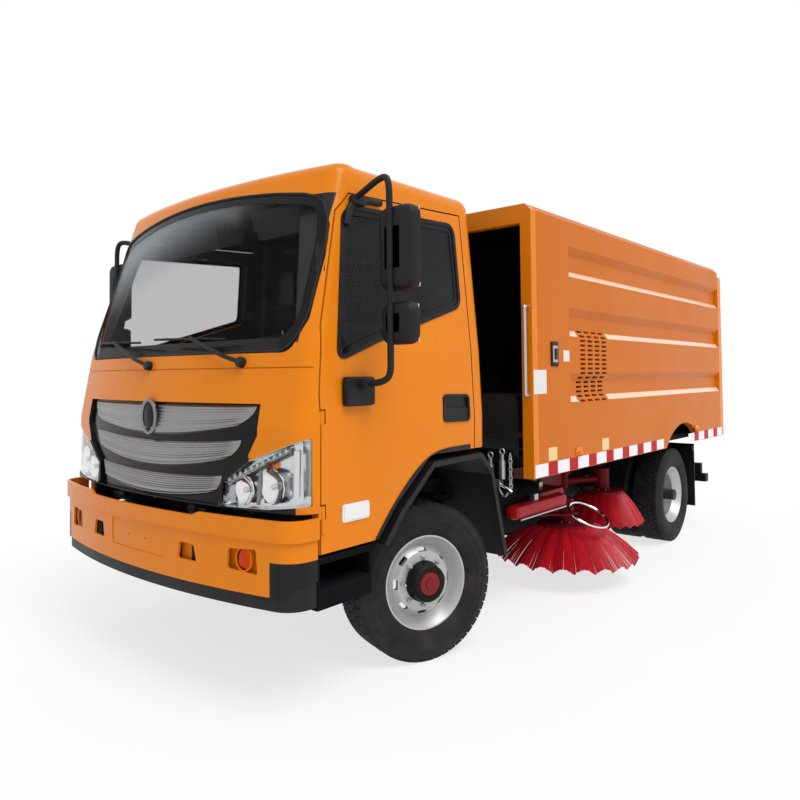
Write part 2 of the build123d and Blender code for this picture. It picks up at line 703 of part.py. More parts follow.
with BuildPart() as suction_nozzle:
    side_prism([(-2400, 60), (-2850, 60), (-2760, 330), (-2480, 330)], -230, 230)
    side_prism([(-2420, 40), (-2830, 40), (-2740, 310), (-2500, 310)], -210, 210, mode=Mode.SUBTRACT)
    rod((-2620, 150, 300), (-2620, 150, 660), 80)
    rod((-2620, 150, 290), (-2620, 150, 670), 72, mode=Mode.SUBTRACT)
    slab(-2720, -2340, 60, 240, 640, 660)
    rod((-2620, 150, 630), (-2620, 150, 670), 72, mode=Mode.SUBTRACT)
save(suction_nozzle, "suction_nozzle")

for place, row in BRUSHES.items():
    middle, across, tip, disc, reach, plate, pivot, pivot_y, bracket = row
    run = Vector(reach - plate + 20, 0, tip - disc)
    with BuildPart() as tuft:
        root = Plane(origin=(plate - 20, 0, disc - 6), x_dir=run, z_dir=run.cross(Vector(0, -1, 0)))
        with BuildSketch(root) as fan:
            with BuildLine():
                end = run.length - 14
                Polyline((0, -17), (end, -TUFT_TIP), (end, TUFT_TIP), (0, 17), close=True)
            make_face()
        extrude(fan.sketch, amount=9, both=True)
    for name, side in SIDES.items():
        with BuildPart() as arm:
            swing = (pivot, side * pivot_y)
            spin = (middle, side * across)
            rod((*swing, bracket - 104), (*swing, bracket - RUNNING), 42)
            rod((pivot - 8, side * (pivot_y + 5), bracket - 55), (*spin, bracket - 55), 26)
            rod((*swing, bracket - 110), (*swing, bracket), 26, mode=Mode.SUBTRACT)
            rod((*spin, disc + 26), (*spin, disc + 190), 62)
        save(arm, "arm_" + place + "_" + name)

        with BuildPart() as brush:
            rod((middle, side * across, disc - 20), (middle, side * across, disc + 20), plate)
            rod((middle, side * across, disc), (middle, side * across, disc + 26 - RUNNING), 30)
            with Locations((at(middle), side * across, 0)):
                with PolarLocations(0, TUFTS):
                    add(tuft.part)
        save(brush, "brush_" + place + "_" + name)

# Wheels, drawn as half sections: along the axle outwards, then radius
RIM_RADIUS = RIM_DIAMETER / 2
TYRE = [(-92, RIM_RADIUS), (-TYRE_WIDTH / 2, 314), (-100, 385), (-82, WHEEL_RADIUS), (82, WHEEL_RADIUS),
        (100, 385), (TYRE_WIDTH / 2, 314), (92, RIM_RADIUS)]


def half_section(points, centre, outboard):
    """A wheel section drawn in the plane of the axle, turned about the axle."""
    plane = Plane(origin=centre, x_dir=outboard, z_dir=outboard.cross(Vector(0, 0, 1)))
    with BuildSketch(plane) as section:
        with BuildLine():
            Polyline(*points, close=True)
        make_face()
    revolve(section.sketch, axis=Axis(centre, outboard))


def hand_holes(centre, outboard, radius, count):
    """Oval holes round a wheel disc, cut through along the axle."""
    with BuildSketch(Plane(origin=centre, z_dir=outboard)) as slots:
        with PolarLocations(radius, count):
            SlotOverall(54, 20, rotation=90)
    extrude(slots.sketch, amount=150, both=True, mode=Mode.SUBTRACT)


RIM = [(-95, RIM_RADIUS), (-86, RIM_RADIUS), (-30, 192), (30, 192), (86, RIM_RADIUS), (95, RIM_RADIUS),
       (95, 229), (34, 182), (-34, 182), (-95, 229)]
FRONT_BORE = SPINDLE + RUNNING
FRONT_DISC = [(30, 186), (62, 150), (66, 92), (120, 88), (126, FRONT_BORE), (-8, FRONT_BORE), (-8, 75),
              (46, 140), (14, 186)]
TWIN_BORE = AXLE_TUBE + RUNNING
TWIN_DISC = [(-66, 214), (-112, 140), (-118, 88), (-30, 84), (-30, TWIN_BORE), (-131, TWIN_BORE), (-131, 140),
             (-84, 226)]

for name, side in SIDES.items():
    turn = radians(STEER_AT_REST)
    outboard = Vector(-sin(turn), cos(turn), 0) * side
    kingpin = Vector(at(0), side * KINGPIN_Y, AXLE_Z)
    hub = kingpin + outboard * (FRONT_WHEEL_Y - KINGPIN_Y)

    with BuildPart() as knuckle:
        for z0, z1 in ((-95, -55 - RUNNING), (55 + RUNNING, 95)):
            rod((0, side * KINGPIN_Y, AXLE_Z + z0), (0, side * KINGPIN_Y, AXLE_Z + z1), 46)
        foot = kingpin + outboard * 20 - Vector(0, 0, 95)
        with BuildSketch(Plane(origin=foot, x_dir=outboard, z_dir=(0, 0, 1))) as web:
            with Locations((42, 0)):
                Rectangle(20, 80)
            with Locations((12, 0)):
                Rectangle(60, 60)
        extrude(web.sketch, amount=190)
        with BuildSketch(Plane(origin=kingpin - Vector(0, 0, 55 + RUNNING), z_dir=(0, 0, 1))) as room:
            Circle(53)
        extrude(room.sketch, amount=110 + 2 * RUNNING, mode=Mode.SUBTRACT)
        with BuildSketch(Plane(origin=kingpin + outboard * 55, z_dir=outboard)) as spindle:
            Circle(SPINDLE)
        extrude(spindle.sketch, amount=130)
    save(knuckle, "knuckle_" + name)

    with BuildPart() as tyre:
        half_section(TYRE, hub, outboard)
    save(tyre, "tyre_front_" + name)

    with BuildPart() as rim:
        half_section(RIM, hub, outboard)
        half_section(FRONT_DISC, hub, outboard)
        hand_holes(hub, outboard, 158, 8)
    save(rim, "rim_front_" + name)

    outward = Vector(0, side, 0)
    outer = Vector(at(-WHEELBASE), side * TWIN_OUTER_Y, AXLE_Z)
    inner = outer - outward * TWIN_SPACING
    with BuildPart() as tyres:
        half_section(TYRE, outer, outward)
        half_section(TYRE, inner, outward)
    save(tyres, "tyres_rear_" + name)

    with BuildPart() as rims:
        half_section(RIM, outer, outward)
        half_section(RIM, inner, outward)
        half_section(TWIN_DISC, outer, outward)
        half_section([(-u, r) for u, r in TWIN_DISC], inner, outward)
    save(rims, "rims_rear_" + name)

# Tipping body
BODY_HEIGHT = BODY_TOP - BODY_LOW
# Sunk bands in the sides: upper and lower edge as shares of the body's height
BANDS = [(0.879, 0.756), (0.636, 0.521), (0.380, 0.263)]
BAND_START = -1218
BAND_DEPTH = 34
ARCH_RADIUS = 626
BODY_SIDE_TOP = BODY_TOP - 70
VENT_COLUMNS = [-1405, -1515, -1625, -1735]
VENT_ROWS = 16
for name, side in SIDES.items():
    with BuildPart() as body_side:
        lining = side * (BODY_HALF - BODY_WALL)
        slab(BODY_REAR, BODY_FRONT - 60, lining, side * BODY_HALF, BODY_LOW, BODY_SIDE_TOP)
        for top_share, bottom_share in BANDS:
            top = BODY_LOW + top_share * BODY_HEIGHT
            bottom = BODY_LOW + bottom_share * BODY_HEIGHT
            slope = 50
            front_prism([(side * (BODY_HALF + 1), top), (side * (BODY_HALF - BAND_DEPTH), top - slope),
                         (side * (BODY_HALF - BAND_DEPTH), bottom + slope), (side * (BODY_HALF + 1), bottom)],
                        BODY_REAR - 10, BAND_START, mode=Mode.SUBTRACT)
        wheel = (-WHEELBASE, lining - side * 40, AXLE_Z)
        rod(wheel, (-WHEELBASE, side * (BODY_HALF + 40), AXLE_Z), ARCH_RADIUS, mode=Mode.SUBTRACT)
        for d in VENT_COLUMNS:
            for row in range(VENT_ROWS):
                z = BODY_LOW + 428 + 30 * row
                slab(d - 38, d + 38, lining - side * 40, side * (BODY_HALF + 40), z, z + 14, mode=Mode.SUBTRACT)
    save(body_side, "body_side_" + name)

with BuildPart() as body_roof:
    outside = [(BODY_HALF - 40, BODY_TOP), (BODY_HALF, BODY_TOP - 40), (BODY_HALF, BODY_SIDE_TOP)]
    lining = [(BODY_HALF - BODY_WALL, BODY_SIDE_TOP), (BODY_HALF - 90, BODY_TOP - 40)]
    front_prism(mirrored(outside + lining), BODY_REAR, BODY_FRONT - 60)
    for side in SIDES.values():
        d, z = TAIL_HINGE
        slab(d - 25, d + 90, side * 770, side * 830, z - 30, BODY_TOP)
        rod((d, side * 700, z), (d, side * 830, z), TAIL_PIN)
save(body_roof, "body_roof")

PORTAL_POST = 70
PORTAL_BEAM = 113
with BuildPart() as body_portal:
    outside = [(BODY_HALF - 40, BODY_TOP), (BODY_HALF, BODY_TOP - 40), (BODY_HALF, BODY_LOW)]
    opening = [(BODY_HALF - PORTAL_POST, BODY_LOW), (BODY_HALF - PORTAL_POST, BODY_TOP - PORTAL_BEAM)]
    front_prism(mirrored(outside + opening), BODY_FRONT - 60, BODY_FRONT)
save(body_portal, "body_portal")

INSIDE = BODY_HALF - BODY_WALL
BULKHEAD = -1960
with BuildPart() as body_floor:
    slab(BODY_REAR, BULKHEAD + 50, -INSIDE, INSIDE, 880, 920)
    slab(BULKHEAD, BULKHEAD + 50, -INSIDE, INSIDE, 880, BODY_SIDE_TOP)
    slab(BULKHEAD, BULKHEAD + 50, 90 - BODY_HALF, BODY_HALF - 90, BODY_SIDE_TOP, BODY_TOP - 40)
    for y in (-160, 60):
        d, z = TIP_HINGE
        slab(d - 35, d + 35, y, y + 100, z, 890)
        rod((d, y, z), (d, y + 100, z), 42)
        rod((d, y, z), (d, y + 100, z), TIP_PIN + RUNNING, mode=Mode.SUBTRACT)
    for side in SIDES.values():
        for y in (TIP_Y - 42, TIP_Y + 30):
            d, z = TIP_EYE
            slab(d - 40, d + 40, side * y, side * (y + 12), z - 35, 885)
save(body_floor, "body_floor")

# Sunk panels of the tailgate: lower and upper edge as shares of the body's height
TAIL_PANELS = [(0.067, 0.480), (0.542, 0.900)]
TAIL_RIBS = (-480, 0, 480)
with BuildPart() as tailgate:
    d, z = TAIL_HINGE
    slab(TAIL_END, BODY_REAR - 5, -BODY_HALF, BODY_HALF, BODY_LOW, z - 60)
    for low, high in TAIL_PANELS:
        slab(TAIL_END - 5, TAIL_END + 40, 90 - BODY_HALF, BODY_HALF - 90, BODY_LOW + low * BODY_HEIGHT,
             BODY_LOW + high * BODY_HEIGHT, mode=Mode.SUBTRACT)
    for y in TAIL_RIBS:
        front_prism([(y - 45, BODY_LOW + 40), (y + 45, BODY_LOW + 40), (y + 45, z - 100), (y - 45, z - 100)],
                    TAIL_END + 12, TAIL_END + 41)
    for side in SIDES.values():
        slab(d - 22, d + 22, side * 705, side * 760, z - 70, z)
        rod((d, side * 705, z), (d, side * 760, z), 23)
        rod((d, side * 700, z), (d, side * 765, z), TAIL_PIN + RUNNING, mode=Mode.SUBTRACT)
save(tailgate, "tailgate")

TIP_RUN = Vector(TIP_EYE[0] - TIP_FOOT[0], 0, TIP_EYE[1] - TIP_FOOT[1])


def along_cylinder(distance, side):
    """A place on a tip cylinder's centre line, measured from its foot."""
    step = TIP_RUN.normalized() * distance
    return (TIP_FOOT[0] + step.X, side * TIP_Y, TIP_FOOT[1] + step.Z)


BARREL_LENGTH = 560
with BuildPart() as tip_barrels:
    for side in SIDES.values():
        rod(along_cylinder(0, side), along_cylinder(BARREL_LENGTH, side), 36)
        d, z = TIP_FOOT
        rod((d, side * (TIP_Y - 30), z), (d, side * (TIP_Y + 30), z), 44)
        bore = TIP_ROD + RUNNING
        rod(along_cylinder(60, side), along_cylinder(BARREL_LENGTH + 5, side), bore, mode=Mode.SUBTRACT)
        bore = TIP_FOOT_PIN + RUNNING
        rod((d, side * (TIP_Y - 40), z), (d, side * (TIP_Y + 40), z), bore, mode=Mode.SUBTRACT)
save(tip_barrels, "tip_barrels")

with BuildPart() as tip_rods:
    for side in SIDES.values():
        d, z = TIP_EYE
        rod(along_cylinder(70, side), along_cylinder(TIP_RUN.length, side), TIP_ROD)
        rod((d, side * (TIP_Y - 24), z), (d, side * (TIP_Y + 24), z), 32)
save(tip_rods, "tip_rods")
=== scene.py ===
# Street sweeper truck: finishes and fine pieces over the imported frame.
# Places are written as d, y, z in millimetres: ahead of the front axle, to the left, and up.
import json
import math

import bmesh
import bpy
from mathutils import Matrix, Vector
from mathutils.bvhtree import BVHTree


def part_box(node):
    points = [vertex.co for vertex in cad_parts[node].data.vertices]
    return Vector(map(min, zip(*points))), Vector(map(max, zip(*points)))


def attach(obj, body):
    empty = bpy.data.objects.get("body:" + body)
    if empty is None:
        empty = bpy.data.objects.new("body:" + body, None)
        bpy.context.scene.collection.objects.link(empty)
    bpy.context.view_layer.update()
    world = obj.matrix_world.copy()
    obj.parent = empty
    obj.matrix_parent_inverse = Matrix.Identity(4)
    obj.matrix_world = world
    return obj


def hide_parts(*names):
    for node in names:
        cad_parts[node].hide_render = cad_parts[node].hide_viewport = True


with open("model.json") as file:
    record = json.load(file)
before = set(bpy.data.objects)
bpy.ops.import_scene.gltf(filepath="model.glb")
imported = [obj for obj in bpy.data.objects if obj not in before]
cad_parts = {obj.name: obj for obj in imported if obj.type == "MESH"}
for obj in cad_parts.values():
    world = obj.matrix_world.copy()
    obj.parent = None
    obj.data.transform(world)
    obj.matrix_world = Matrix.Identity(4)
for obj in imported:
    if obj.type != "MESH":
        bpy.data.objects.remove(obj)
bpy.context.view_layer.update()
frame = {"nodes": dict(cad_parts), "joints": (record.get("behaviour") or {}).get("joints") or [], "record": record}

MM = 0.001
SIDES = {"left": 1, "right": -1}
AHEAD, UP = Vector((1, 0, 0)), Vector((0, 0, 1))
nodes = frame["nodes"]
scene = bpy.context.scene
axle_low, axle_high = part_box("front_axle")
AXLE_X = (axle_low.x + axle_high.x) / 2


def place(d, y, z):
    """A point of the frame, from millimetres ahead of the front axle, to the left and up."""
    return Vector((AXLE_X + d * MM, y * MM, z * MM))


def places(spots, hand=1):
    """Points given as d, y, z, which a hand of -1 mirrors to the right side."""
    return [place(d, hand * y, z) for d, y, z in spots]


def at(d, y, z):
    """The matrix that moves a piece to a place."""
    return Matrix.Translation(place(d, y, z))


def turns(count):
    """Angles spread evenly round a full turn."""
    return [2 * math.pi * k / count for k in range(count)]


def oval(middle, first, second, count):
    """Points round an oval, from its two half axes in millimetres."""
    return [middle + (Vector(first) * math.cos(t) + Vector(second) * math.sin(t)) * MM for t in turns(count)]


# Shader and geometry trees

SHADER, GEOMETRY = "ShaderNodeTree", "GeometryNodeTree"
VECTOR = "ShaderNodeVectorMath"


def feed(tree, socket, value):
    """Gives a socket a fixed value, or joins another socket to it."""
    if isinstance(value, bpy.types.NodeSocket):
        tree.links.new(value, socket)
    else:
        socket.default_value = value


def node(tree, kind, settings=None, **inputs):
    """Adds a node with its settings and the inputs named with underscores for spaces."""
    made = tree.nodes.new(kind)
    for key, value in (settings or {}).items():
        setattr(made, key, value)
    for label, value in inputs.items():
        feed(tree, made.inputs[label.replace("_", " ")], value)
    return made


def calc(tree, operation, *values, kind="ShaderNodeMath", result=0):
    """The result of a Math or Vector Math node on its values in turn."""
    made = node(tree, kind, {"operation": operation})
    for socket, value in zip(made.inputs, values):
        feed(tree, socket, value)
    return made.outputs[result]


def new_tree(name, kind, inputs, outputs):
    """A node group with named inputs, as name: (socket kind, default), and named outputs."""
    tree = bpy.data.node_groups.new(name, kind)
    for label, (socket, default) in inputs.items():
        made = tree.interface.new_socket(label, in_out="INPUT", socket_type="NodeSocket" + socket)
        if default is not None:
            made.default_value = default
    for label, socket in outputs.items():
        tree.interface.new_socket(label, in_out="OUTPUT", socket_type="NodeSocket" + socket)
    entry = tree.nodes.new("NodeGroupInput").outputs
    leave = tree.nodes.new("NodeGroupOutput").inputs
    return tree, entry, leave


def group(tree, inner, **inputs):
    """The outputs of a shader group that is added to a tree."""
    return node(tree, "ShaderNodeGroup", {"node_tree": inner}, **inputs).outputs


def own_spot(tree):
    """The object's own coordinates, whole and split."""
    spot = node(tree, "ShaderNodeTexCoord").outputs["Object"]
    return spot, node(tree, "ShaderNodeSeparateXYZ", Vector=spot).outputs


def mixed(tree, mask, first, second):
    """A colour that goes from the first to the second by a mask."""
    made = node(tree, "ShaderNodeMix", {"data_type": "RGBA"})
    for number, value in ((0, mask), (6, first), (7, second)):
        feed(tree, made.inputs[number], value)
    return made.outputs[2]


def fine_grain():
    """Broad changes of gloss and a fine height for bump."""
    sizes = {"Scale": ("Float", 60.0), "Smoothest": ("Float", 0.3), "Roughest": ("Float", 0.5)}
    tree, entry, leave = new_tree("Fine Grain", SHADER, sizes, {"Roughness": "Float", "Height": "Float"})
    spot = node(tree, "ShaderNodeTexCoord").outputs["Object"]
    broad = node(tree, "ShaderNodeTexNoise", Vector=spot, Scale=3.1, Detail=4.0)
    fine = node(tree, "ShaderNodeTexNoise", Vector=spot, Scale=entry["Scale"], Detail=2.0)
    gloss = node(tree, "ShaderNodeMapRange", Value=broad.outputs[0], From_Min=0.3, From_Max=0.7,
                 To_Min=entry["Smoothest"], To_Max=entry["Roughest"])
    feed(tree, leave["Roughness"], gloss.outputs[0])
    feed(tree, leave["Height"], fine.outputs[0])
    return tree


def tone_drift():
    """A colour that lightens and darkens a little from place to place."""
    sizes = {"Colour": ("Color", (0.5, 0.5, 0.5, 1)), "Scale": ("Float", 2.0), "Amount": ("Float", 0.1)}
    tree, entry, leave = new_tree("Tone Drift", SHADER, sizes, {"Colour": "Color"})
    spot = node(tree, "ShaderNodeTexCoord").outputs["Object"]
    cloud = node(tree, "ShaderNodeTexNoise", Vector=spot, Scale=entry["Scale"], Detail=5.0).outputs[0]
    shade = calc(tree, "MULTIPLY_ADD", calc(tree, "SUBTRACT", cloud, 0.5), entry["Amount"], 1.0)
    made = node(tree, "ShaderNodeHueSaturation", Color=entry["Colour"], Value=shade)
    feed(tree, leave["Colour"], made.outputs[0])
    return tree


def road_dust():
    """A mask that thins out upwards from the road."""
    sizes = {"Top": ("Float", 1.0), "Amount": ("Float", 0.3)}
    tree, entry, leave = new_tree("Road Dust", SHADER, sizes, {"Mask": "Float"})
    spot, parts = own_spot(tree)
    cloud = node(tree, "ShaderNodeTexNoise", Vector=spot, Scale=9.0, Detail=6.0).outputs[0]
    rise = node(tree, "ShaderNodeMapRange", Value=parts["Z"], From_Min=0.0, From_Max=entry["Top"],
                To_Min=1.0, To_Max=0.0)
    patch = node(tree, "ShaderNodeMapRange", Value=cloud, From_Min=0.4, From_Max=0.7)
    both = calc(tree, "MULTIPLY", rise.outputs[0], patch.outputs[0])
    feed(tree, leave["Mask"], calc(tree, "MULTIPLY", both, entry["Amount"]))
    return tree


def inner_face():
    """One on faces within a half width that look to the middle of a hollow body, and in a front opening."""
    sizes = {"Middle": ("Vector", (0, 0, 0)), "Half Width": ("Float", 2.0), "Opening Half": ("Float", 0.0),
             "Opening Low": ("Float", 0.0), "Opening High": ("Float", 0.0)}
    tree, entry, leave = new_tree("Inner Face", SHADER, sizes, {"Mask": "Float"})
    spot, parts = own_spot(tree)
    facing = node(tree, "ShaderNodeNewGeometry").outputs["True Normal"]
    away = calc(tree, "SUBTRACT", spot, entry["Middle"], kind=VECTOR)
    turn = calc(tree, "DOT_PRODUCT", away, facing, kind=VECTOR, result="Value")
    across = calc(tree, "ABSOLUTE", parts["Y"])
    within = calc(tree, "LESS_THAN", across, entry["Half Width"])
    inwards = calc(tree, "LESS_THAN", turn, -0.02)
    between = calc(tree, "MULTIPLY", calc(tree, "GREATER_THAN", parts["Z"], entry["Opening Low"]),
                   calc(tree, "LESS_THAN", parts["Z"], entry["Opening High"]))
    opening = calc(tree, "MULTIPLY", between, calc(tree, "LESS_THAN", across, entry["Opening Half"]))
    feed(tree, leave["Mask"], calc(tree, "MAXIMUM", calc(tree, "MULTIPLY", inwards, within), opening))
    return tree


def low_zone():
    """One between two distances from the middle, below a height that may slant outwards."""
    sizes = {"Nearest": ("Float", 0.0), "Farthest": ("Float", 2.0), "Top": ("Float", 0.5),
             "Slant": ("Float", 0.0)}
    tree, entry, leave = new_tree("Low Zone", SHADER, sizes, {"Mask": "Float"})
    parts = own_spot(tree)[1]
    across = calc(tree, "ABSOLUTE", parts["Y"])
    within = calc(tree, "MULTIPLY", calc(tree, "GREATER_THAN", across, entry["Nearest"]),
                  calc(tree, "LESS_THAN", across, entry["Farthest"]))
    limit = calc(tree, "MULTIPLY_ADD", across, entry["Slant"], entry["Top"])
    feed(tree, leave["Mask"], calc(tree, "MULTIPLY", within, calc(tree, "LESS_THAN", parts["Z"], limit)))
    return tree


# Finishes

GRAIN, DRIFT, DUST, INNER, ZONE = fine_grain(), tone_drift(), road_dust(), inner_face(), low_zone()
DUST_COLOUR, DUST_TOP = (0.30, 0.26, 0.21, 1), 1.1
ZONE_COLOUR = (0.010, 0.010, 0.011, 1)
BUMP_HEIGHT, COAT_ROUGHNESS = 0.002, 0.06


def blank(name, **values):
    """A new material, its tree and its shader's inputs, some of them set to plain values."""
    made = bpy.data.materials.new(name)
    made.use_nodes = True
    inputs = made.node_tree.nodes["Principled BSDF"].inputs
    for label, value in values.items():
        inputs[label.replace("_", " ")].default_value = value
    return made, made.node_tree, inputs


def finish(name, colour, gloss, grain=400, bump=0.05, metal=0.0, coat=0.0, shine=0.25, dust=0.0, drift=0.1,
           drift_scale=2.0, inside_shade=None, zones=()):
    """A material: colour, lowest and highest roughness, grain per metre, then its coats, wear, black zones and
    painted shade inside a hollow shell.
    """
    made, tree, inputs = blank(name, Metallic=metal, Coat_Weight=coat, Coat_Roughness=COAT_ROUGHNESS,
                               Specular_IOR_Level=shine)
    tone = group(tree, DRIFT, Colour=(*colour, 1), Scale=drift_scale, Amount=drift)["Colour"]
    surface = group(tree, GRAIN, Scale=grain, Smoothest=gloss[0], Roughest=gloss[1])
    # Painted shade: a near-black colour on the faces inside a hollow shell
    if inside_shade:
        inside, limits = inside_shade
        tone = mixed(tree, group(tree, INNER, **limits)["Mask"], tone, (*inside, 1))
    for limits in zones:
        tone = mixed(tree, group(tree, ZONE, **limits)["Mask"], tone, ZONE_COLOUR)
    if dust:
        tone = mixed(tree, group(tree, DUST, Top=DUST_TOP, Amount=dust)["Mask"], tone, DUST_COLOUR)
    relief = node(tree, "ShaderNodeBump", Strength=bump, Distance=BUMP_HEIGHT, Height=surface["Height"])
    feed(tree, inputs["Base Color"], tone)
    feed(tree, inputs["Roughness"], surface["Roughness"])
    feed(tree, inputs["Normal"], relief.outputs[0])
    return made


def clear(name, tint, gloss=0.02, ior=1.22):
    """Clear glass or plastic with a tint."""
    return blank(name, Base_Color=(*tint, 1), Roughness=gloss, Transmission_Weight=1.0, IOR=ior)[0]


def pane(name, tint, share, band=None):
    """A thin tinted pane that stops a share of the light, with a painted reflection: a paler, less clear band from
    one height to another.
    """
    made, tree, inputs = blank(name, Base_Color=(*tint, 1), Roughness=0.03, Specular_IOR_Level=0.4,
                               Alpha=share)
    if band:
        low, high, slant, colour, most = band
        parts = own_spot(tree)[1]
        level = calc(tree, "MULTIPLY_ADD", parts["Y"], slant, parts["Z"])
        rise = node(tree, "ShaderNodeMapRange", {"interpolation_type": "SMOOTHSTEP"}, Value=level,
                    From_Min=low, From_Max=high).outputs[0]
        feed(tree, inputs["Base Color"], mixed(tree, rise, (*tint, 1), (*colour, 1)))
        feed(tree, inputs["Alpha"], calc(tree, "MULTIPLY_ADD", rise, most - share, share))
    return made


ORANGE = (0.76, 0.212, 0.004)
BODY_ORANGE = (0.60, 0.150, 0.006)
# Where a shell counts as inside, for its painted shade: its middle, the half width of the shaded inside and the
# windscreen's opening
CAB_INSIDE = {"Middle": place(200, 0, 1600), "Half_Width": 2.0, "Opening_Half": 0.893, "Opening_Low": 1.60,
              "Opening_High": 2.29}
BODY_INSIDE = {"Middle": place(-2600, 0, 1650), "Half_Width": 1.064}
# Painted shade inside the cab, over what shows through the windscreen, and inside the hopper body
CAB_INSIDE_SHADE = ((0.02, 0.02, 0.022), CAB_INSIDE)
BODY_INSIDE_SHADE = ((0.008, 0.008, 0.009), BODY_INSIDE)
# Black parts of the paint: under the lamps, beside the grille and on the bumper's lower corners
FRONT_ZONES = ({"Farthest": 0.94, "Top": 0.918}, {"Farthest": 0.70, "Top": 0.645, "Slant": 0.667})
BUMPER_ZONES = ({"Nearest": 0.87, "Top": 0.690},)
GLAZE = {"grain": 700, "bump": 0.012, "coat": 0.06, "shine": 0.14}
CAB_PAINT = finish("cab paint", ORANGE, (0.2, 0.3), inside_shade=CAB_INSIDE_SHADE, **GLAZE)
FRONT_PAINT = finish("cab front paint", ORANGE, (0.2, 0.3), inside_shade=CAB_INSIDE_SHADE, zones=FRONT_ZONES, **GLAZE)
BUMPER_PAINT = finish("bumper paint", ORANGE, (0.22, 0.34), zones=BUMPER_ZONES, **GLAZE)
PAINT = finish("orange paint", ORANGE, (0.22, 0.34), **GLAZE)
BODY_PAINT = finish("body paint", BODY_ORANGE, (0.3, 0.42), 500, 0.02, shine=0.1, inside_shade=BODY_INSIDE_SHADE)
# Painted highlight: a pale colour on the lower slope of each pressed band, where the sky would be reflected
BAND_HIGHLIGHT = finish("painted band highlight", (0.86, 0.60, 0.42), (0.2, 0.3), 500, 0.02, coat=0.5)
PLASTIC = finish("grained black plastic", (0.011, 0.0115, 0.0125), (0.38, 0.55), 1500, 0.2, shine=0.2,
                 dust=0.03)
GLOSS_BLACK = finish("gloss black", (0.004, 0.004, 0.005), (0.12, 0.22), 600, 0.01, shine=0.16)
# Painted shade: a near-black finish for parts that stand where there is only shade
SHADE = finish("painted shade", (0.006, 0.006, 0.007), (0.7, 0.9), 300, 0.05, shine=0.05)
SILVER = finish("satin silver", (0.50, 0.49, 0.48), (0.26, 0.4), 900, 0.04, metal=0.85)
BAR_SILVER = finish("brushed grille silver", (0.27, 0.265, 0.26), (0.24, 0.36), 900, 0.04, metal=0.9)
REFLECT = finish("lamp bowl", (0.62, 0.63, 0.64), (0.1, 0.2), 200, 0.02, metal=1.0)
STEEL_DARK = finish("dark chrome", (0.22, 0.22, 0.23), (0.12, 0.22), 300, 0.01, metal=1.0)
CHROME = finish("chrome", (0.78, 0.78, 0.79), (0.06, 0.14), 300, 0.01, metal=1.0)
ZINC = finish("zinc plated steel", (0.45, 0.45, 0.44), (0.25, 0.45), 500, 0.05, metal=0.9)
WHEEL = finish("wheel silver", (0.50, 0.50, 0.50), (0.32, 0.48), 700, 0.06, metal=0.6, dust=0.1)
RUBBER = finish("tyre rubber", (0.009, 0.009, 0.010), (0.62, 0.82), 900, 0.35, dust=0.07)
SEAL = finish("rubber seal", (0.006, 0.006, 0.007), (0.4, 0.6), 1200, 0.1)
CHASSIS = finish("chassis black", (0.006, 0.006, 0.007), (0.4, 0.6), 500, 0.1, shine=0.1, dust=0.05)
DARK_RED = finish("dark red paint", (0.17, 0.004, 0.009), (0.35, 0.5), 500, 0.05, shine=0.12, dust=0.04)
BRISTLE = finish("red bristle", (0.52, 0.008, 0.022), (0.35, 0.55), 600, 0.1, shine=0.4, drift=0.7,
                 drift_scale=14.0)
CAST = finish("cast grey iron", (0.03, 0.03, 0.032), (0.5, 0.7), 260, 0.5, metal=0.3, dust=0.15)
CLOTH = finish("seat cloth", (0.035, 0.036, 0.040), (0.8, 0.95), 2200, 0.6, shine=0.1)
TRIM = finish("cab trim", (0.030, 0.030, 0.033), (0.5, 0.7), 1600, 0.2, shine=0.15)
PALE = finish("pale lamp plastic", (0.80, 0.80, 0.79), (0.2, 0.35), 500, 0.03, coat=0.3)
LABEL = finish("blank label", (0.74, 0.73, 0.70), (0.35, 0.5), 400, 0.02)
STRIPE_RED = finish("reflective red", (0.46, 0.006, 0.012), (0.3, 0.45), 1800, 0.1, shine=0.08)
STRIPE_WHITE = finish("reflective white", (0.86, 0.82, 0.83), (0.25, 0.4), 1800, 0.2, coat=0.2)
REFLECTOR = finish("pale yellow reflector", (0.82, 0.60, 0.22), (0.2, 0.3), 1500, 0.2, coat=0.3)
RED_HOUSING = finish("bright red paint", (0.34, 0.006, 0.012), (0.3, 0.45), 500, 0.05, shine=0.2)
HUB_RED = finish("hub red", (0.20, 0.008, 0.014), (0.35, 0.5), 400, 0.05)
MIRROR = finish("mirror glass", (0.82, 0.83, 0.84), (0.02, 0.04), 200, 0.0, metal=1.0)
# The windscreen's upper band is a painted reflection of the pale sky, paler and less clear towards the top
SCREEN_GLASS = pane("windscreen glass", (0.010, 0.012, 0.012), 0.06,
                    band=(1.98, 2.48, -0.34, (0.36, 0.40, 0.44), 0.52))
DOOR_GLASS = pane("door glass", (0.010, 0.013, 0.016), 0.26)
LENS = clear("clear lens", (0.96, 0.97, 0.97))
AMBER = clear("amber lens", (0.90, 0.24, 0.01), 0.05)
RED_LENS = clear("red lens", (0.6, 0.02, 0.02), 0.05)

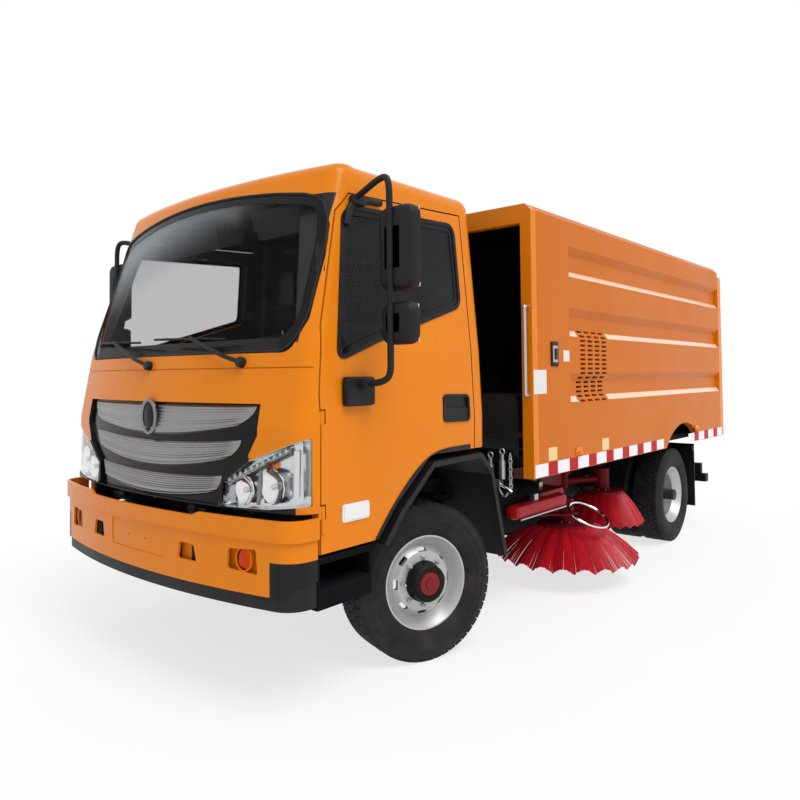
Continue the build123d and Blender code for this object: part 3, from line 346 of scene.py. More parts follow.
CAD_FINISH = {
    "orange_paint": PAINT, "black_plastic": PLASTIC, "gloss_black": GLOSS_BLACK, "silver_trim": SILVER,
    "glass": DOOR_GLASS, "lamp": LENS, "tyre": RUBBER, "silver_wheel": WHEEL, "chassis_paint": CHASSIS,
    "red_paint": DARK_RED, "bristle": BRISTLE, "cast": CAST, "seat": CLOTH, "interior": TRIM, "rubber": SEAL,
}
NODE_FINISH = {
    # The floor of the body and the side boxes take the painted shade
    "cab_glass": SCREEN_GLASS, "tip_rods": CHROME, "body_floor": SHADE, "side_boxes": SHADE,
    "cab_front": FRONT_PAINT, "bumper": BUMPER_PAINT,
    "cab_roof": CAB_PAINT, "cab_rear": CAB_PAINT, "door_left": CAB_PAINT, "door_right": CAB_PAINT,
    "body_side_left": BODY_PAINT, "body_side_right": BODY_PAINT, "body_roof": BODY_PAINT,
}


def dress_frame():
    """Gives each CAD piece its own finish, or the one of its slot."""
    for row in frame["record"]["subparts"]:
        name = row["node"]
        made = NODE_FINISH.get(name, CAD_FINISH[row["material_slot"]])
        nodes[name].data.materials.clear()
        nodes[name].data.materials.append(made)


# Making meshes


class Surface:
    """CAD pieces that finer pieces are laid on."""

    def __init__(self, *names):
        points, loops = [], []
        for name in names:
            mesh = nodes[name].data
            start = len(points)
            points += [vertex.co.copy() for vertex in mesh.vertices]
            loops += [[start + i for i in face.vertices] for face in mesh.polygons]
        self.tree = BVHTree.FromPolygons(points, loops)

    def front(self, y, z, lift=0.0):
        """The point met from straight ahead, or None."""
        hit = self.tree.ray_cast(place(1500, y, z), -AHEAD)[0]
        return hit and hit + AHEAD * lift * MM

    def side(self, d, z, hand, lift=0.0):
        """The point met from the left or right side, or None."""
        hit = self.tree.ray_cast(place(d, hand * 1600, z), Vector((0, -hand, 0)))[0]
        return hit and hit + Vector((0, hand * lift * MM, 0))


def along(origin, axis):
    """A frame at origin whose Z follows axis and whose Y keeps upright as far as it can."""
    z = Vector(axis).normalized()
    x = UP.cross(z)
    x = x.normalized() if x.length > 1e-6 else AHEAD
    turn = Matrix((x, z.cross(x), z)).transposed()
    return Matrix.Translation(origin) @ turn.to_4x4()


def bend(start, corner, end, steps):
    """Points of a smooth bend that leaves start and reaches end, drawn to a corner."""
    return [(1 - t) ** 2 * start + 2 * t * (1 - t) * corner + t * t * end
            for t in (k / steps for k in range(steps + 1))]


def rounded(corners, radius, steps=6):
    """A closed outline in a plane with its corners rounded."""
    made = []
    count = len(corners)
    for i in range(count):
        before, corner, after = (Vector(corners[(i + k) % count]) for k in (-1, 0, 1))
        back, on = before - corner, after - corner
        reach = min(radius, 0.45 * back.length, 0.45 * on.length)
        made += bend(corner + back.normalized() * reach, corner, corner + on.normalized() * reach, steps)
    return made


def inset(outline, width):
    """The outline moved inwards by a width, or by a function of the point's place."""
    count = len(outline)
    area = sum(outline[i - 1].cross(outline[i]) for i in range(count))
    made = []
    for i in range(count):
        run = (outline[(i + 1) % count] - outline[i - 1]).normalized()
        inwards = Vector((-run.y, run.x)) * (1 if area > 0 else -1)
        made.append(outline[i] + inwards * (width(outline[i]) if callable(width) else width))
    return made


def bent(points, reach):
    """Control points of a bar that runs straight and bends within a reach of each corner."""
    line = [Vector(point) for point in points]
    made = [line[0]]
    for a, b, c in zip(line, line[1:], line[2:]):
        back, on = a - b, c - b
        made += [b + back.normalized() * min(reach, back.length / 2), b,
                 b + on.normalized() * min(reach, on.length / 2)]
    return made + [line[-1]]


def grid(rows, columns, closed_rows=False, closed_columns=True):
    """Four-cornered loops over points that are listed row by row."""
    loops = []
    for r in range(rows if closed_rows else rows - 1):
        for c in range(columns if closed_columns else columns - 1):
            here, far = r * columns, (r + 1) % rows * columns
            loops.append((here + c, here + (c + 1) % columns, far + (c + 1) % columns, far + c))
    return loops


class Piece:
    """Collects the faces of one piece, then hands it to its body."""

    def __init__(self, name, body):
        self.name, self.body = name, body
        self.mesh = bmesh.new()
        self.finishes = []

    def index(self, material):
        if material not in self.finishes:
            self.finishes.append(material)
        return self.finishes.index(material)

    def faces(self, points, loops, material, smooth=True):
        """Adds loose faces on a list of points."""
        corners = [self.mesh.verts.new(point) for point in points]
        number = self.index(material)
        for loop in loops:
            face = self.mesh.faces.new([corners[i] for i in loop])
            face.material_index, face.smooth = number, smooth

    def take(self, mesh, material, matrix=Matrix()):
        """Adds a whole mesh, placed by a matrix."""
        points = [matrix @ vertex.co for vertex in mesh.vertices]
        self.faces(points, [face.vertices[:] for face in mesh.polygons], material)

    def take_loose(self, loose, material, matrix=Matrix()):
        """Adds a mesh that is still being made, and frees it."""
        data = bpy.data.meshes.new("loose")
        loose.to_mesh(data)
        loose.free()
        self.take(data, material, matrix)

    def block(self, size, matrix, material, rounding=0.0, taper=(1.0, 1.0), steps=2):
        """A box of a size in millimetres, its top drawn in by a taper and its edges rounded."""
        part = bmesh.new()
        bmesh.ops.create_cube(part, size=1.0)
        for vertex in part.verts:
            x, y, z = vertex.co
            narrow = taper if z > 0 else (1.0, 1.0)
            vertex.co = Vector((x * size[0] * narrow[0], y * size[1] * narrow[1], z * size[2])) * MM
        if rounding:
            bmesh.ops.bevel(part, geom=part.edges[:], offset=rounding * MM, segments=steps, profile=0.5,
                            affect="EDGES")
        self.take_loose(part, material, matrix)

    def boxes(self, rows, hand=1):
        """Boxes from rows of two corners as d, y, z, a finish and a rounding, on one side."""
        for low, high, material, rounding in rows:
            a, b = places((low, high), hand)
            size = [abs(q - p) / MM for p, q in zip(a, b)]
            self.block(size, Matrix.Translation((a + b) / 2), material, rounding)

    def lathe(self, profile, matrix, material, steps=32, closed=False):
        """Turns a profile of millimetres along and out about the matrix's Z axis."""
        number = self.index(material)
        rings = []
        for run, radius in profile:
            spots = [(0, 0, run)]
            if radius > 1e-6:
                spots = [(radius * math.cos(t), radius * math.sin(t), run) for t in turns(steps)]
            rings.append([self.mesh.verts.new(matrix @ (Vector(spot) * MM)) for spot in spots])
        for a, b in zip(rings, rings[1:] + rings[:1] if closed else rings[1:]):
            for i in range(steps):
                loop = (a[i % len(a)], a[(i + 1) % len(a)], b[(i + 1) % len(b)], b[i % len(b)])
                corners = list(dict.fromkeys(loop))
                if len(corners) > 2:
                    face = self.mesh.faces.new(corners)
                    face.material_index, face.smooth = number, True

    def pipe(self, points, radius, material, sides=3, steps=5, closed=False):
        """A round bar along a smooth line that is drawn to the points."""
        curve = bpy.data.curves.new("pipe", "CURVE")
        curve.dimensions = "3D"
        curve.bevel_depth = radius * MM
        curve.bevel_resolution = sides
        curve.resolution_u = steps
        curve.use_fill_caps = not closed
        line = curve.splines.new("NURBS")
        line.points.add(len(points) - 1)
        for spot, point in zip(line.points, points):
            spot.co = (*point, 1)
        line.use_cyclic_u = closed
        line.use_endpoint_u = not closed
        line.order_u = 3
        holder = bpy.data.objects.new("pipe", curve)
        self.take(bpy.data.meshes.new_from_object(holder), material)
        bpy.data.objects.remove(holder)

    def band(self, outer, inner, lift, material):
        """A flat ring between two matched loops, with its thickness along lift."""
        rise = Vector(lift) * MM
        points = outer + inner + [p + rise for p in inner] + [p + rise for p in outer]
        self.faces(points, grid(4, len(outer), closed_rows=True), material)

    def plate(self, outline, lift, material):
        """A flat plate with an outline of points, with its thickness along lift."""
        rise = Vector(lift) * MM
        count = len(outline)
        points = list(outline) + [p + rise for p in outline]
        loops = [tuple(range(count)), tuple(range(count, 2 * count))] + grid(2, count)
        self.faces(points, loops, material, smooth=False)

    def shell(self, rings, material):
        """A closed skin over rings of equal count, with both ends filled."""
        count = len(rings[0])
        last = (len(rings) - 1) * count
        loops = [tuple(range(count)), tuple(range(last, last + count))] + grid(len(rings), count)
        self.faces([point for ring in rings for point in ring], loops, material)

    def data(self):
        """The finished mesh, with its faces turned outwards."""
        bmesh.ops.recalc_face_normals(self.mesh, faces=self.mesh.faces)
        made = bpy.data.meshes.new(self.name)
        self.mesh.to_mesh(made)
        self.mesh.free()
        return made

    def done(self, slot=None, replaces=(), sharp=32):
        """Makes the object, gives it to its body and hides the CAD pieces it stands for."""
        data = self.data()
        for material in self.finishes:
            data.materials.append(material)
        data.set_sharp_from_angle(angle=math.radians(sharp))
        made = bpy.data.objects.new(self.name, data)
        scene.collection.objects.link(made)
        even = made.modifiers.new("even shading", "WEIGHTED_NORMAL")
        even.keep_sharp = True
        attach(made, self.body)
        if replaces:
            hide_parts(*replaces)
        return made


# Geometry trees for what repeats


# Inputs that every tree of copies has
COPY_INPUTS = {"Item": ("Object", None), "Count": ("Int", 8), "Material": ("Material", None)}


def close_tree(tree, copies, entry, leave):
    """Ends a tree: the copies become one mesh with its material."""
    real = node(tree, "GeometryNodeRealizeInstances", Geometry=copies)
    dressed = node(tree, "GeometryNodeSetMaterial", Geometry=real.outputs[0], Material=entry["Material"])
    feed(tree, leave["Geometry"], dressed.outputs[0])
    return tree


def copy_items(tree, entry, leave, **spots):
    """Ends a tree with its item copied to points, which may turn it."""
    item = node(tree, "GeometryNodeObjectInfo", Object=entry["Item"])
    copies = node(tree, "GeometryNodeInstanceOnPoints", Instance=item.outputs["Geometry"], **spots)
    return close_tree(tree, copies.outputs[0], entry, leave)


def ring_tree():
    """Copies of an item round the Z axis, each with its X pointing outwards."""
    sizes = {**COPY_INPUTS, "Radius": ("Float", 0.1)}
    tree, entry, leave = new_tree("Ring Of Items", GEOMETRY, sizes, {"Geometry": "Geometry"})
    circle = node(tree, "GeometryNodeMeshCircle", Vertices=entry["Count"], Radius=entry["Radius"])
    spot = node(tree, "GeometryNodeInputPosition").outputs[0]
    turn = node(tree, "FunctionNodeAlignRotationToVector", {"axis": "X", "pivot_axis": "Z"}, Vector=spot)
    return copy_items(tree, entry, leave, Points=circle.outputs["Mesh"], Rotation=turn.outputs[0])


def row_tree():
    """Copies of an item in a straight row."""
    sizes = {**COPY_INPUTS, "Step": ("Vector", (0.1, 0, 0))}
    tree, entry, leave = new_tree("Row Of Items", GEOMETRY, sizes, {"Geometry": "Geometry"})
    line = node(tree, "GeometryNodeMeshLine", Count=entry["Count"], Offset=entry["Step"])
    return copy_items(tree, entry, leave, Points=line.outputs[0])


BRISTLE_ARCH = 0.11
BRISTLE_STRAY = (0, 0.010, 0.004)


def bristle_tree():
    """Pleated fans of bristles that spread out and down from the rim of a disc."""
    sizes = {
        "Fans": ("Int", 22), "Bristles": ("Int", 60), "Disc Radius": ("Float", 0.2), "Reach": ("Float", 0.3),
        "Drop": ("Float", 0.24), "Pleat": ("Float", 0.05), "Thickness": ("Float", 0.003), "Seed": ("Int", 4),
        "Material": ("Material", None),
    }
    tree, entry, leave = new_tree("Bristle Fans", GEOMETRY, sizes, {"Geometry": "Geometry"})
    # One bristle, arched from the disc's rim to its tip
    edge = node(tree, "ShaderNodeCombineXYZ", X=entry["Disc Radius"])
    tip = node(tree, "ShaderNodeCombineXYZ", X=calc(tree, "ADD", entry["Disc Radius"], entry["Reach"]),
               Z=calc(tree, "MULTIPLY", entry["Drop"], -1.0))
    line = node(tree, "GeometryNodeCurvePrimitiveLine", Start=edge.outputs[0], End=tip.outputs[0])
    parts = node(tree, "GeometryNodeResampleCurve", Curve=line.outputs[0], Count=5)
    share = node(tree, "GeometryNodeSplineParameter").outputs["Factor"]
    both = calc(tree, "MULTIPLY", share, calc(tree, "SUBTRACT", 1.0, share))
    rise = node(tree, "ShaderNodeCombineXYZ", Z=calc(tree, "MULTIPLY", both, BRISTLE_ARCH))
    arched = node(tree, "GeometryNodeSetPosition", Geometry=parts.outputs[0], Offset=rise.outputs[0])
    section = node(tree, "GeometryNodeCurvePrimitiveCircle", Resolution=3, Radius=entry["Thickness"])
    strand = node(tree, "GeometryNodeCurveToMesh", Curve=arched.outputs[0], Profile_Curve=section.outputs[0],
                  Fill_Caps=True)
    # All bristles round the disc, each fan lifted in its middle, with a little stray
    count = calc(tree, "MULTIPLY", entry["Fans"], entry["Bristles"])
    roots = node(tree, "GeometryNodeMeshLine", Count=count, Offset=(0, 0, 0))
    number = node(tree, "GeometryNodeInputIndex").outputs[0]
    turn = calc(tree, "MULTIPLY", calc(tree, "DIVIDE", number, count), 2 * math.pi)
    half_turn = calc(tree, "MULTIPLY", calc(tree, "DIVIDE", number, entry["Bristles"]), math.pi)
    crest = calc(tree, "ABSOLUTE", calc(tree, "SINE", half_turn))
    lift = calc(tree, "MULTIPLY", crest, calc(tree, "MULTIPLY", entry["Pleat"], -1.0))
    angles = node(tree, "ShaderNodeCombineXYZ", Y=lift, Z=turn)
    stray = node(tree, "FunctionNodeRandomValue", {"data_type": "FLOAT_VECTOR"}, Seed=entry["Seed"])
    stray.inputs[0].default_value = [-angle for angle in BRISTLE_STRAY]
    stray.inputs[1].default_value = BRISTLE_STRAY
    turned = calc(tree, "ADD", angles.outputs[0], stray.outputs[0], kind=VECTOR)
    whole = node(tree, "GeometryNodeInstanceOnPoints", Points=roots.outputs[0], Instance=strand.outputs[0],
                 Rotation=turned)
    return close_tree(tree, whole.outputs[0], entry, leave)


RING, ROW, BRISTLES = ring_tree(), row_tree(), bristle_tree()


def grow(tree, values):
    """The plain mesh that a tree makes with these inputs."""
    holder = bpy.data.objects.new("grown", bpy.data.meshes.new("grown"))
    scene.collection.objects.link(holder)
    modifier = holder.modifiers.new("grow", "NODES")
    modifier.node_group = tree
    names = {item.name: item.identifier for item in tree.interface.items_tree if item.in_out == "INPUT"}
    for label, value in values.items():
        modifier[names[label]] = value
    made = bpy.data.meshes.new_from_object(holder.evaluated_get(bpy.context.evaluated_depsgraph_get()))
    bpy.data.objects.remove(holder)
    return made


def repeat(tree, build, material, **values):
    """The mesh of a tree that copies one small item, made by a function that fills a piece."""
    part = Piece("item", None)
    build(part)
    item = bpy.data.objects.new("item", part.data())
    scene.collection.objects.link(item)
    made = grow(tree, {"Item": item, "Material": material, **values})
    bpy.data.objects.remove(item)
    return made


# Cab front

SCREEN_HALF, SCREEN_TOP, SCREEN_CROWN, SCREEN_CORNER = 845, 2284, 80, 80
SCREEN = [(-SCREEN_HALF, SCREEN_TOP), (-905, 2110), (-912, 1700), (-850, 1562),
          (850, 1562), (912, 1700), (905, 2110), (SCREEN_HALF, SCREEN_TOP)]
# Points along the arched top: how many, where they start and how far apart
TOP_COUNT, TOP_START, TOP_STEP = 17, 805, 86.5
# Width of the black edge, along the foot and elsewhere
EDGE_FOOT, EDGE_WIDTH, EDGE_FOOT_HEIGHT = 62, 48, 1640


def screen_outline():
    """The windscreen's outline seen from the front, with its arched top."""
    top = [Vector((TOP_START - TOP_STEP * k, SCREEN_TOP)) for k in range(1, TOP_COUNT + 1)]
    made = []
    for point in rounded(SCREEN, SCREEN_CORNER) + top:
        if point.y > SCREEN_TOP - 1:
            point = Vector((point.x, SCREEN_TOP + SCREEN_CROWN * (1 - (point.x / SCREEN_HALF) ** 2)))
        made.append(point)
    return made


def windscreen_border():
    """The black edge of the windscreen and the seal round it."""
    glass = Surface("cab_glass")
    outline = screen_outline()
    border = Piece("windscreen_border", "cab")
    rim, edge = [], []
    inside = inset(outline, lambda p: EDGE_FOOT if p.y < EDGE_FOOT_HEIGHT else EDGE_WIDTH)
    for (y, z), inner in zip(outline, inside):
        while glass.front(y, z) is None and abs(y) > 500:
            y *= 0.996
        while glass.front(y, z) is None:
            z -= 2
        rim.append(glass.front(y, z, 1))
        edge.append(glass.front(inner.x if abs(inner.x) < abs(y) else y * 0.96, inner.y, 1) or rim[-1])
    border.band(rim, edge, (1.5, 0, 0), GLOSS_BLACK)
    border.pipe([p + AHEAD * 3 * MM for p in rim], 7, SEAL, closed=True, steps=2)
    border.done(slot="gloss_black")


# Grille bars: top and bottom in the middle, half width above and below, rise of both edges at the ends
BARS = [(1325, 1178, 712, 600, 1, 54), (1150, 1028, 640, 545, 26, 58), (996, 890, 528, 478, 18, 44)]
BAR_STEPS_ACROSS, BAR_STEPS_DOWN = 48, 90
BAR_SEAT, BAR_THICKNESS = 3, 9
# Ribs down to one share of the bar's height, then a round lip to another, then a fall
BAR_RIBS, RIB_HEIGHT, RIBS_END = 7, 3.4, 0.72
LIP_HEIGHT, LIP_END, LIP_FALL = 5.0, 0.86, 16


def bar_relief(v):
    """Height of a bar's face in millimetres, from its top edge at 0 to its lower edge at 1."""
    if v < RIBS_END:
        return RIB_HEIGHT * abs(math.cos(math.pi * BAR_RIBS * v / RIBS_END))
    if v < LIP_END:
        return RIB_HEIGHT + LIP_HEIGHT * math.sin(math.pi * (v - RIBS_END) / (LIP_END - RIBS_END))
    return RIB_HEIGHT - LIP_FALL * (v - LIP_END)


def grille_bars():
    """Three ribbed silver bars with a plain lower lip."""
    panel = Surface("grille_panel")
    bars = Piece("ribbed_grille_bars", "cab")
    for top, bottom, wide, narrow, rise_top, rise_bottom in BARS:
        points = []
        for i in range(BAR_STEPS_ACROSS + 1):
            u = 2 * i / BAR_STEPS_ACROSS - 1
            for k in range(BAR_STEPS_DOWN + 1):
                v = k / BAR_STEPS_DOWN
                z = (top + rise_top * u * u) * (1 - v) + (bottom + rise_bottom * u * u) * v
                y = u * (wide * (1 - v * v) + narrow * v * v)
                edge = min(1.0, 14 * min(v, 1 - v), 16 * (1 - abs(u)))
                points.append(panel.front(y * 0.997, z, BAR_SEAT + (BAR_THICKNESS + bar_relief(v)) * edge))
        bars.faces(points, grid(BAR_STEPS_ACROSS + 1, BAR_STEPS_DOWN + 1, closed_columns=False), BAR_SILVER)
    bars.done(slot="silver_trim", replaces=("grille_bars",), sharp=60)


# Black trim between the grille and each lamp: inner and outer edge across, height
LAMP_TRIM = [(531, 556, 884), (536, 560, 990), (560, 585, 1016), (688, 712, 1103)]


def lamp_trim():
    """A black strip that joins the grille panel to each headlamp."""
    skin = Surface("cab_front", "grille_panel", "headlamps")
    made = Piece("lamp_trim", "cab")
    for hand in SIDES.values():
        inner, outer = ([skin.front(hand * row[edge], row[2], 1) for row in LAMP_TRIM] for edge in (0, 1))
        made.plate(inner + outer[::-1], (2.5, 0, 0), GLOSS_BLACK)
    made.done(slot="gloss_black")


OVAL_HEIGHT, OVAL_LIFT = 1262, 24
OVAL_HALF_WIDTH, OVAL_HALF_HEIGHT, OVAL_BAR = 62, 82, 10
OVAL_BOSS = [(0, 0), (0, 60), (20, 60), (26, 40), (28, 0)]


def oval_ring():
    """The plain oval in the middle of the grille."""
    ring = Piece("grille_oval", "cab")
    middle = Surface("grille_panel").front(0, OVAL_HEIGHT, OVAL_LIFT)
    loop = oval(middle, (0, OVAL_HALF_WIDTH, 0), (0, 0, OVAL_HALF_HEIGHT), 16)
    ring.pipe(loop, OVAL_BAR, STEEL_DARK, closed=True, steps=4)
    flat = along(middle - AHEAD * 22 * MM, AHEAD) @ Matrix.Diagonal((1.0, 1.32, 1.0, 1.0))
    ring.lathe(OVAL_BOSS, flat, GLOSS_BLACK, 40)
    ring.done(slot="silver_trim")


# Wipers: pivot across and up, arm end across and up, blade from and to
WIPERS = ((-73, 1512, -540, 1648, -835, -224), (608, 1518, 236, 1640, -80, 480))
WIPER_CAP = [(-16, 0), (-16, 24), (8, 24), (14, 18), (16, 0)]


def wipers():
    """Two wipers that lie along the foot of the windscreen."""
    glass = Surface("cab_glass", "cab_front")
    made = Piece("wipers", "cab")
    for pivot, low, end, high, start, stop in WIPERS:
        foot = glass.front(pivot, low, 14)
        head = glass.front(end, high, 22)
        made.lathe(WIPER_CAP, along(foot, (1, 0, 0.25)), PLASTIC, 20)
        knee = foot.lerp(head, 0.35) + AHEAD * 22 * MM
        made.pipe([foot, foot.lerp(knee, 0.5) + AHEAD * 10 * MM, knee, head], 10, PLASTIC)
        blade = [glass.front(start + (stop - start) * k / 6, high + 4 - 3 * k, 9) for k in range(7)]
        made.pipe(blade, 6, SEAL, steps=3)
        made.pipe([p + Vector((9, 0, 2)) * MM for p in blade[1:-1]], 5, PLASTIC, steps=3)
    made.done(slot="black_plastic")


# Bowls of a headlamp: across, height, radius
LAMP_BOWLS = ((665, 962, 62), (815, 985, 74))
# Profile of a bowl: along, share of the radius, more radius
BOWL = [(0, 1, 0), (-16, 0.72, 0), (-26, 0.35, 0), (-28, 0, 0), (-31, 0, 0), (-29, 0.4, 0), (-19, 0.78, 0),
        (-3, 1, 3)]
LAMP_BULB = [(-24, 0), (-24, 12), (-6, 14), (2, 8), (4, 0)]
LAMP_AMBER = [(-14, 0), (-14, 20), (0, 22), (8, 14), (10, 0)]
AMBER_SPOT = (790, 1075)
LED, LED_COUNT = [(-8, 0), (-8, 13), (3, 11), (6, 0)], 11
LED_START, LED_END = (580, 1000), (885, 1140)
# Bars in a headlamp: points across and up, depth, radius, finish
LAMP_BARS = (
    (((566, 985), (700, 1052), (890, 1138)), -24, 16, STEEL_DARK),
    (((738, 905), (742, 960), (748, 1050)), -16, 9, STEEL_DARK),
    (((925, 945), (925, 1010), (925, 1080), (925, 1140)), -20, 13, PALE),
)
LENS_THICKNESS, HOUSING_THICKNESS, LAMP_SIDE = 2.5, 2.0, 0.962


def lamp_skin(part, shown, material, thickness):
    """Adds the front of the headlamps as a skin, or the rest of them."""
    skin = bmesh.new()
    skin.from_mesh(nodes["headlamps"].data)
    bmesh.ops.remove_doubles(skin, verts=skin.verts, dist=1e-5)
    away = []
    for face in skin.faces:
        middle = face.calc_center_median()
        on_side = abs(middle.y) > LAMP_SIDE and face.normal.y * middle.y > 0
        if (face.normal.x > 0.25 or on_side) != shown:
            away.append(face)
    bmesh.ops.delete(skin, geom=away, context="FACES")
    bmesh.ops.solidify(skin, geom=skin.faces[:], thickness=thickness * MM)
    part.take_loose(skin, material)


def headlamps():
    """Clear lenses over chrome bowls, with a row of small lights along the upper edge."""
    shape = Surface("headlamps")
    lens, housing = Piece("headlamp_lenses", "cab"), Piece("headlamp_insides", "cab")
    lamp_skin(lens, True, LENS, LENS_THICKNESS)
    lamp_skin(housing, False, REFLECT, HOUSING_THICKNESS)
    for hand in SIDES.values():
        def spot(y, z, depth):
            return shape.front(hand * y, z, depth)

        for y, z, radius in LAMP_BOWLS:
            axis = along(spot(y, z, -10), AHEAD)
            bowl = [(run, radius * share + more) for run, share, more in BOWL]
            housing.lathe(bowl, axis, CHROME, 12, closed=True)
            housing.lathe(LAMP_BULB, axis, PALE, 16)
        housing.lathe(LAMP_AMBER, along(spot(*AMBER_SPOT, -16), AHEAD), AMBER, 20)
        start, end = spot(*LED_START, -9), spot(*LED_END, -9)
        lights = repeat(ROW, lambda part: part.lathe(LED, along(Vector(), AHEAD), PALE, 3), PALE,
                        Count=LED_COUNT, Step=(end - start) / (LED_COUNT - 1))
        housing.take(lights, PALE, Matrix.Translation(start))
        for line, depth, radius, material in LAMP_BARS:
            housing.pipe([spot(y, z, depth) for y, z in line], radius, material)
    housing.done()
    lens.done(slot="lamp", replaces=("headlamps",))


ROOF_LAMP = [(0, 0), (0, 32), (8, 32), (10, 27), (22, 22), (28, 12), (30, 0)]
ROOF_LAMP_BACK, ROOF_LAMP_ACROSS, ROOF_LAMP_SINK = 0.14, 0.66, 0.004


def roof_fittings():
    """A small lamp at each front corner of the roof box."""
    made = Piece("roof_lamps", "cab")
    low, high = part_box("roof_box")
    for hand in SIDES.values():
        foot = Vector((high.x - ROOF_LAMP_BACK, hand * ROOF_LAMP_ACROSS, low.z - ROOF_LAMP_SINK))
        made.lathe(ROOF_LAMP, along(foot, UP), PALE, 20)
    made.done(slot="black_plastic")


# Cab inside

WHEEL_MIDDLE, WHEEL_AXIS = (560, 440, 1512), (-0.5, 0, 0.866)
RIM_RADIUS, RIM_BAR = 200, 16
WHEEL_HUB = [(-30, 0), (-30, 50), (4, 58), (14, 44), (18, 0)]
SPOKE_TURNS, SPOKE_RUN, SPOKE_BAR = (0.5, 2.6, 4.71), (40, 120, 196), 11
COLUMN, COLUMN_BAR = (WHEEL_MIDDLE, (675, 440, 1432), (786, 440, 1368)), 28


def steering_wheel():
    """A round rim with three spokes on its column."""
    made = Piece("steering_wheel_rim", "cab")
    axis = along(place(*WHEEL_MIDDLE), WHEEL_AXIS)
    rim = [(RIM_BAR * math.sin(t), RIM_RADIUS + RIM_BAR * math.cos(t)) for t in turns(10)]
    made.lathe(rim, axis, TRIM, 48, closed=True)
    made.lathe(WHEEL_HUB, axis, TRIM, 24)
    for turn in SPOKE_TURNS:
        out = Vector((math.cos(turn), math.sin(turn), 0))
        made.pipe([axis @ (out * r * MM) for r in SPOKE_RUN], SPOKE_BAR, TRIM)
    made.pipe(places(COLUMN), COLUMN_BAR, TRIM)
    made.done(slot="interior", replaces=("steering_wheel",))


CUSHION_STEPS, CUSHION_CROWN = 18, 0.16
SEAM_DEPTH, SEAM_WIDTH = 0.06, 0.05


def cushion(part, size, matrix, channels=3):
    """A crowned pad with its edges drawn in and sewn channels across it."""
    body = bmesh.new()
    bmesh.ops.create_cube(body, size=2.0)
    bmesh.ops.subdivide_edges(body, edges=body.edges[:], cuts=CUSHION_STEPS, use_grid_fill=True)
    seams = [2 * k / (channels + 1) - 1 for k in range(1, channels + 1)]
    for vertex in body.verts:
        x, y, z = vertex.co
        full = [math.sqrt(max(0.0, 1 - abs(c) ** 7)) for c in (x, y)]
        swell = 1 + CUSHION_CROWN * (1 - x * x) * (1 - y * y)
        seam = SEAM_DEPTH * sum(math.exp(-((x - s) / SEAM_WIDTH) ** 2) for s in seams)
        height = z * (0.35 + 0.65 * min(full)) * (swell - seam)
        edge = 1 - 0.05 * z * z
        vertex.co = Vector((x * edge * size[0], y * edge * size[1], height * size[2])) * (MM / 2)
    part.take_loose(body, CLOTH, matrix)


# Seats: middle across, half width
SEATS = ((470, 240), (-130, 200), (-560, 220))
SEAT_GAP, SEAT_LEAN = 12, -81


def seats():
    """Three padded seats: cushion, back and head rest."""
    made = Piece("seat_pads", "cab")
    lean = Matrix.Rotation(math.radians(SEAT_LEAN), 4, "Y")
    for y, half in SEATS:
        width = 2 * half - SEAT_GAP
        cushion(made, (500, width, 95), at(25, y, 1148))
        cushion(made, (540, width, 90), at(-292, y, 1470) @ lean)
        cushion(made, (180, 250, 70), at(-318, y, 1858) @ lean, channels=1)
        for post in (y - 60, y + 60):
            made.pipe(places(((-320, post, 1730), (-322, post, 1800))), 6, ZINC)
    pads = made.done(slot="seat", replaces=("seats",), sharp=70)


VISOR, VISOR_LEAN = (14, 520, 150), 28
DIAL, DIALS_ACROSS = [(0, 0), (0, 34), (5, 34), (6, 0)], (350, 440, 530)


def cab_inside():
    """Sun visors, the inner mirror and the dashboard's dials."""
    made = Piece("cab_fittings", "cab")
    lean = Matrix.Rotation(math.radians(VISOR_LEAN), 4, "Y")
    for hand in SIDES.values():
        made.block(VISOR, at(560, hand * 430, 2250) @ lean, TRIM, 6)
    made.block((16, 210, 70), at(590, 0, 2205), PLASTIC, 7)
    made.pipe(places(((600, 0, 2240), (620, 0, 2290))), 8, PLASTIC)
    made.block((150, 420, 70), at(740, 440, 1512), TRIM, 20, (0.7, 0.9))
    for y in DIALS_ACROSS:
        made.lathe(DIAL, along(place(668, y, 1510), (-1, 0, 0.4)), GLOSS_BLACK, 20)
    made.done(slot="interior")


# Doors: outlines as d and height

DOOR_WINDOW = [(752, 1530), (655, 2185), (600, 2225), (-205, 2262), (-205, 1830), (480, 1625)]
HANDLE_BEZEL = [(9, 1209), (-236, 1205), (-236, 1349), (-4, 1354)]
HANDLE_FLAP = [(-12, 1222), (-222, 1219), (-222, 1278), (-12, 1281)]
SIDE_LAMP = [(749, 817), (576, 817), (576, 895), (749, 895)]
DOOR_PANEL = [(830, 760), (820, 1430), (480, 1560), (-240, 1740), (-240, 1110), (70, 1110), (480, 760)]
DOOR_PANEL_ACROSS = 930
# Three places round the handle where the door skin is plain
DOOR_FLAT = [(60, 1190), (-262, 1190), (60, 1370)]
# Lower edge of the door round the wheel, and the smooth line that its black lip follows
ARCH_EDGE = [Vector(p) for p in ((512, 705), (380, 845), (120, 1045), (60, 1055), (-236, 1055))]
ARCH_LIP = [Vector(p) for p in ((532, 708), (408, 846), (232, 996), (60, 1078), (-236, 1080))]
ARCH_LIP_THICKNESS = 5


def door_plane(skin, hand):
    """A function that gives points of the flat part of a door, at a lift above it."""
    a, b, c = (skin.side(*spot, hand) for spot in DOOR_FLAT)
    normal = (b - a).cross(c - a)

    def on_door(d, z, lift):
        point = place(d, 0, z)
        fall = (normal.x * (point.x - a.x) + normal.z * (point.z - a.z)) / normal.y
        point.y = a.y - fall + hand * lift * MM
        return point

    return on_door


def nearest(point, start, end):
    """The point of a straight run that lies nearest to a point."""
    run = end - start
    share = (point - start).dot(run) / run.length_squared
    return start + run * min(1.0, max(0.0, share))


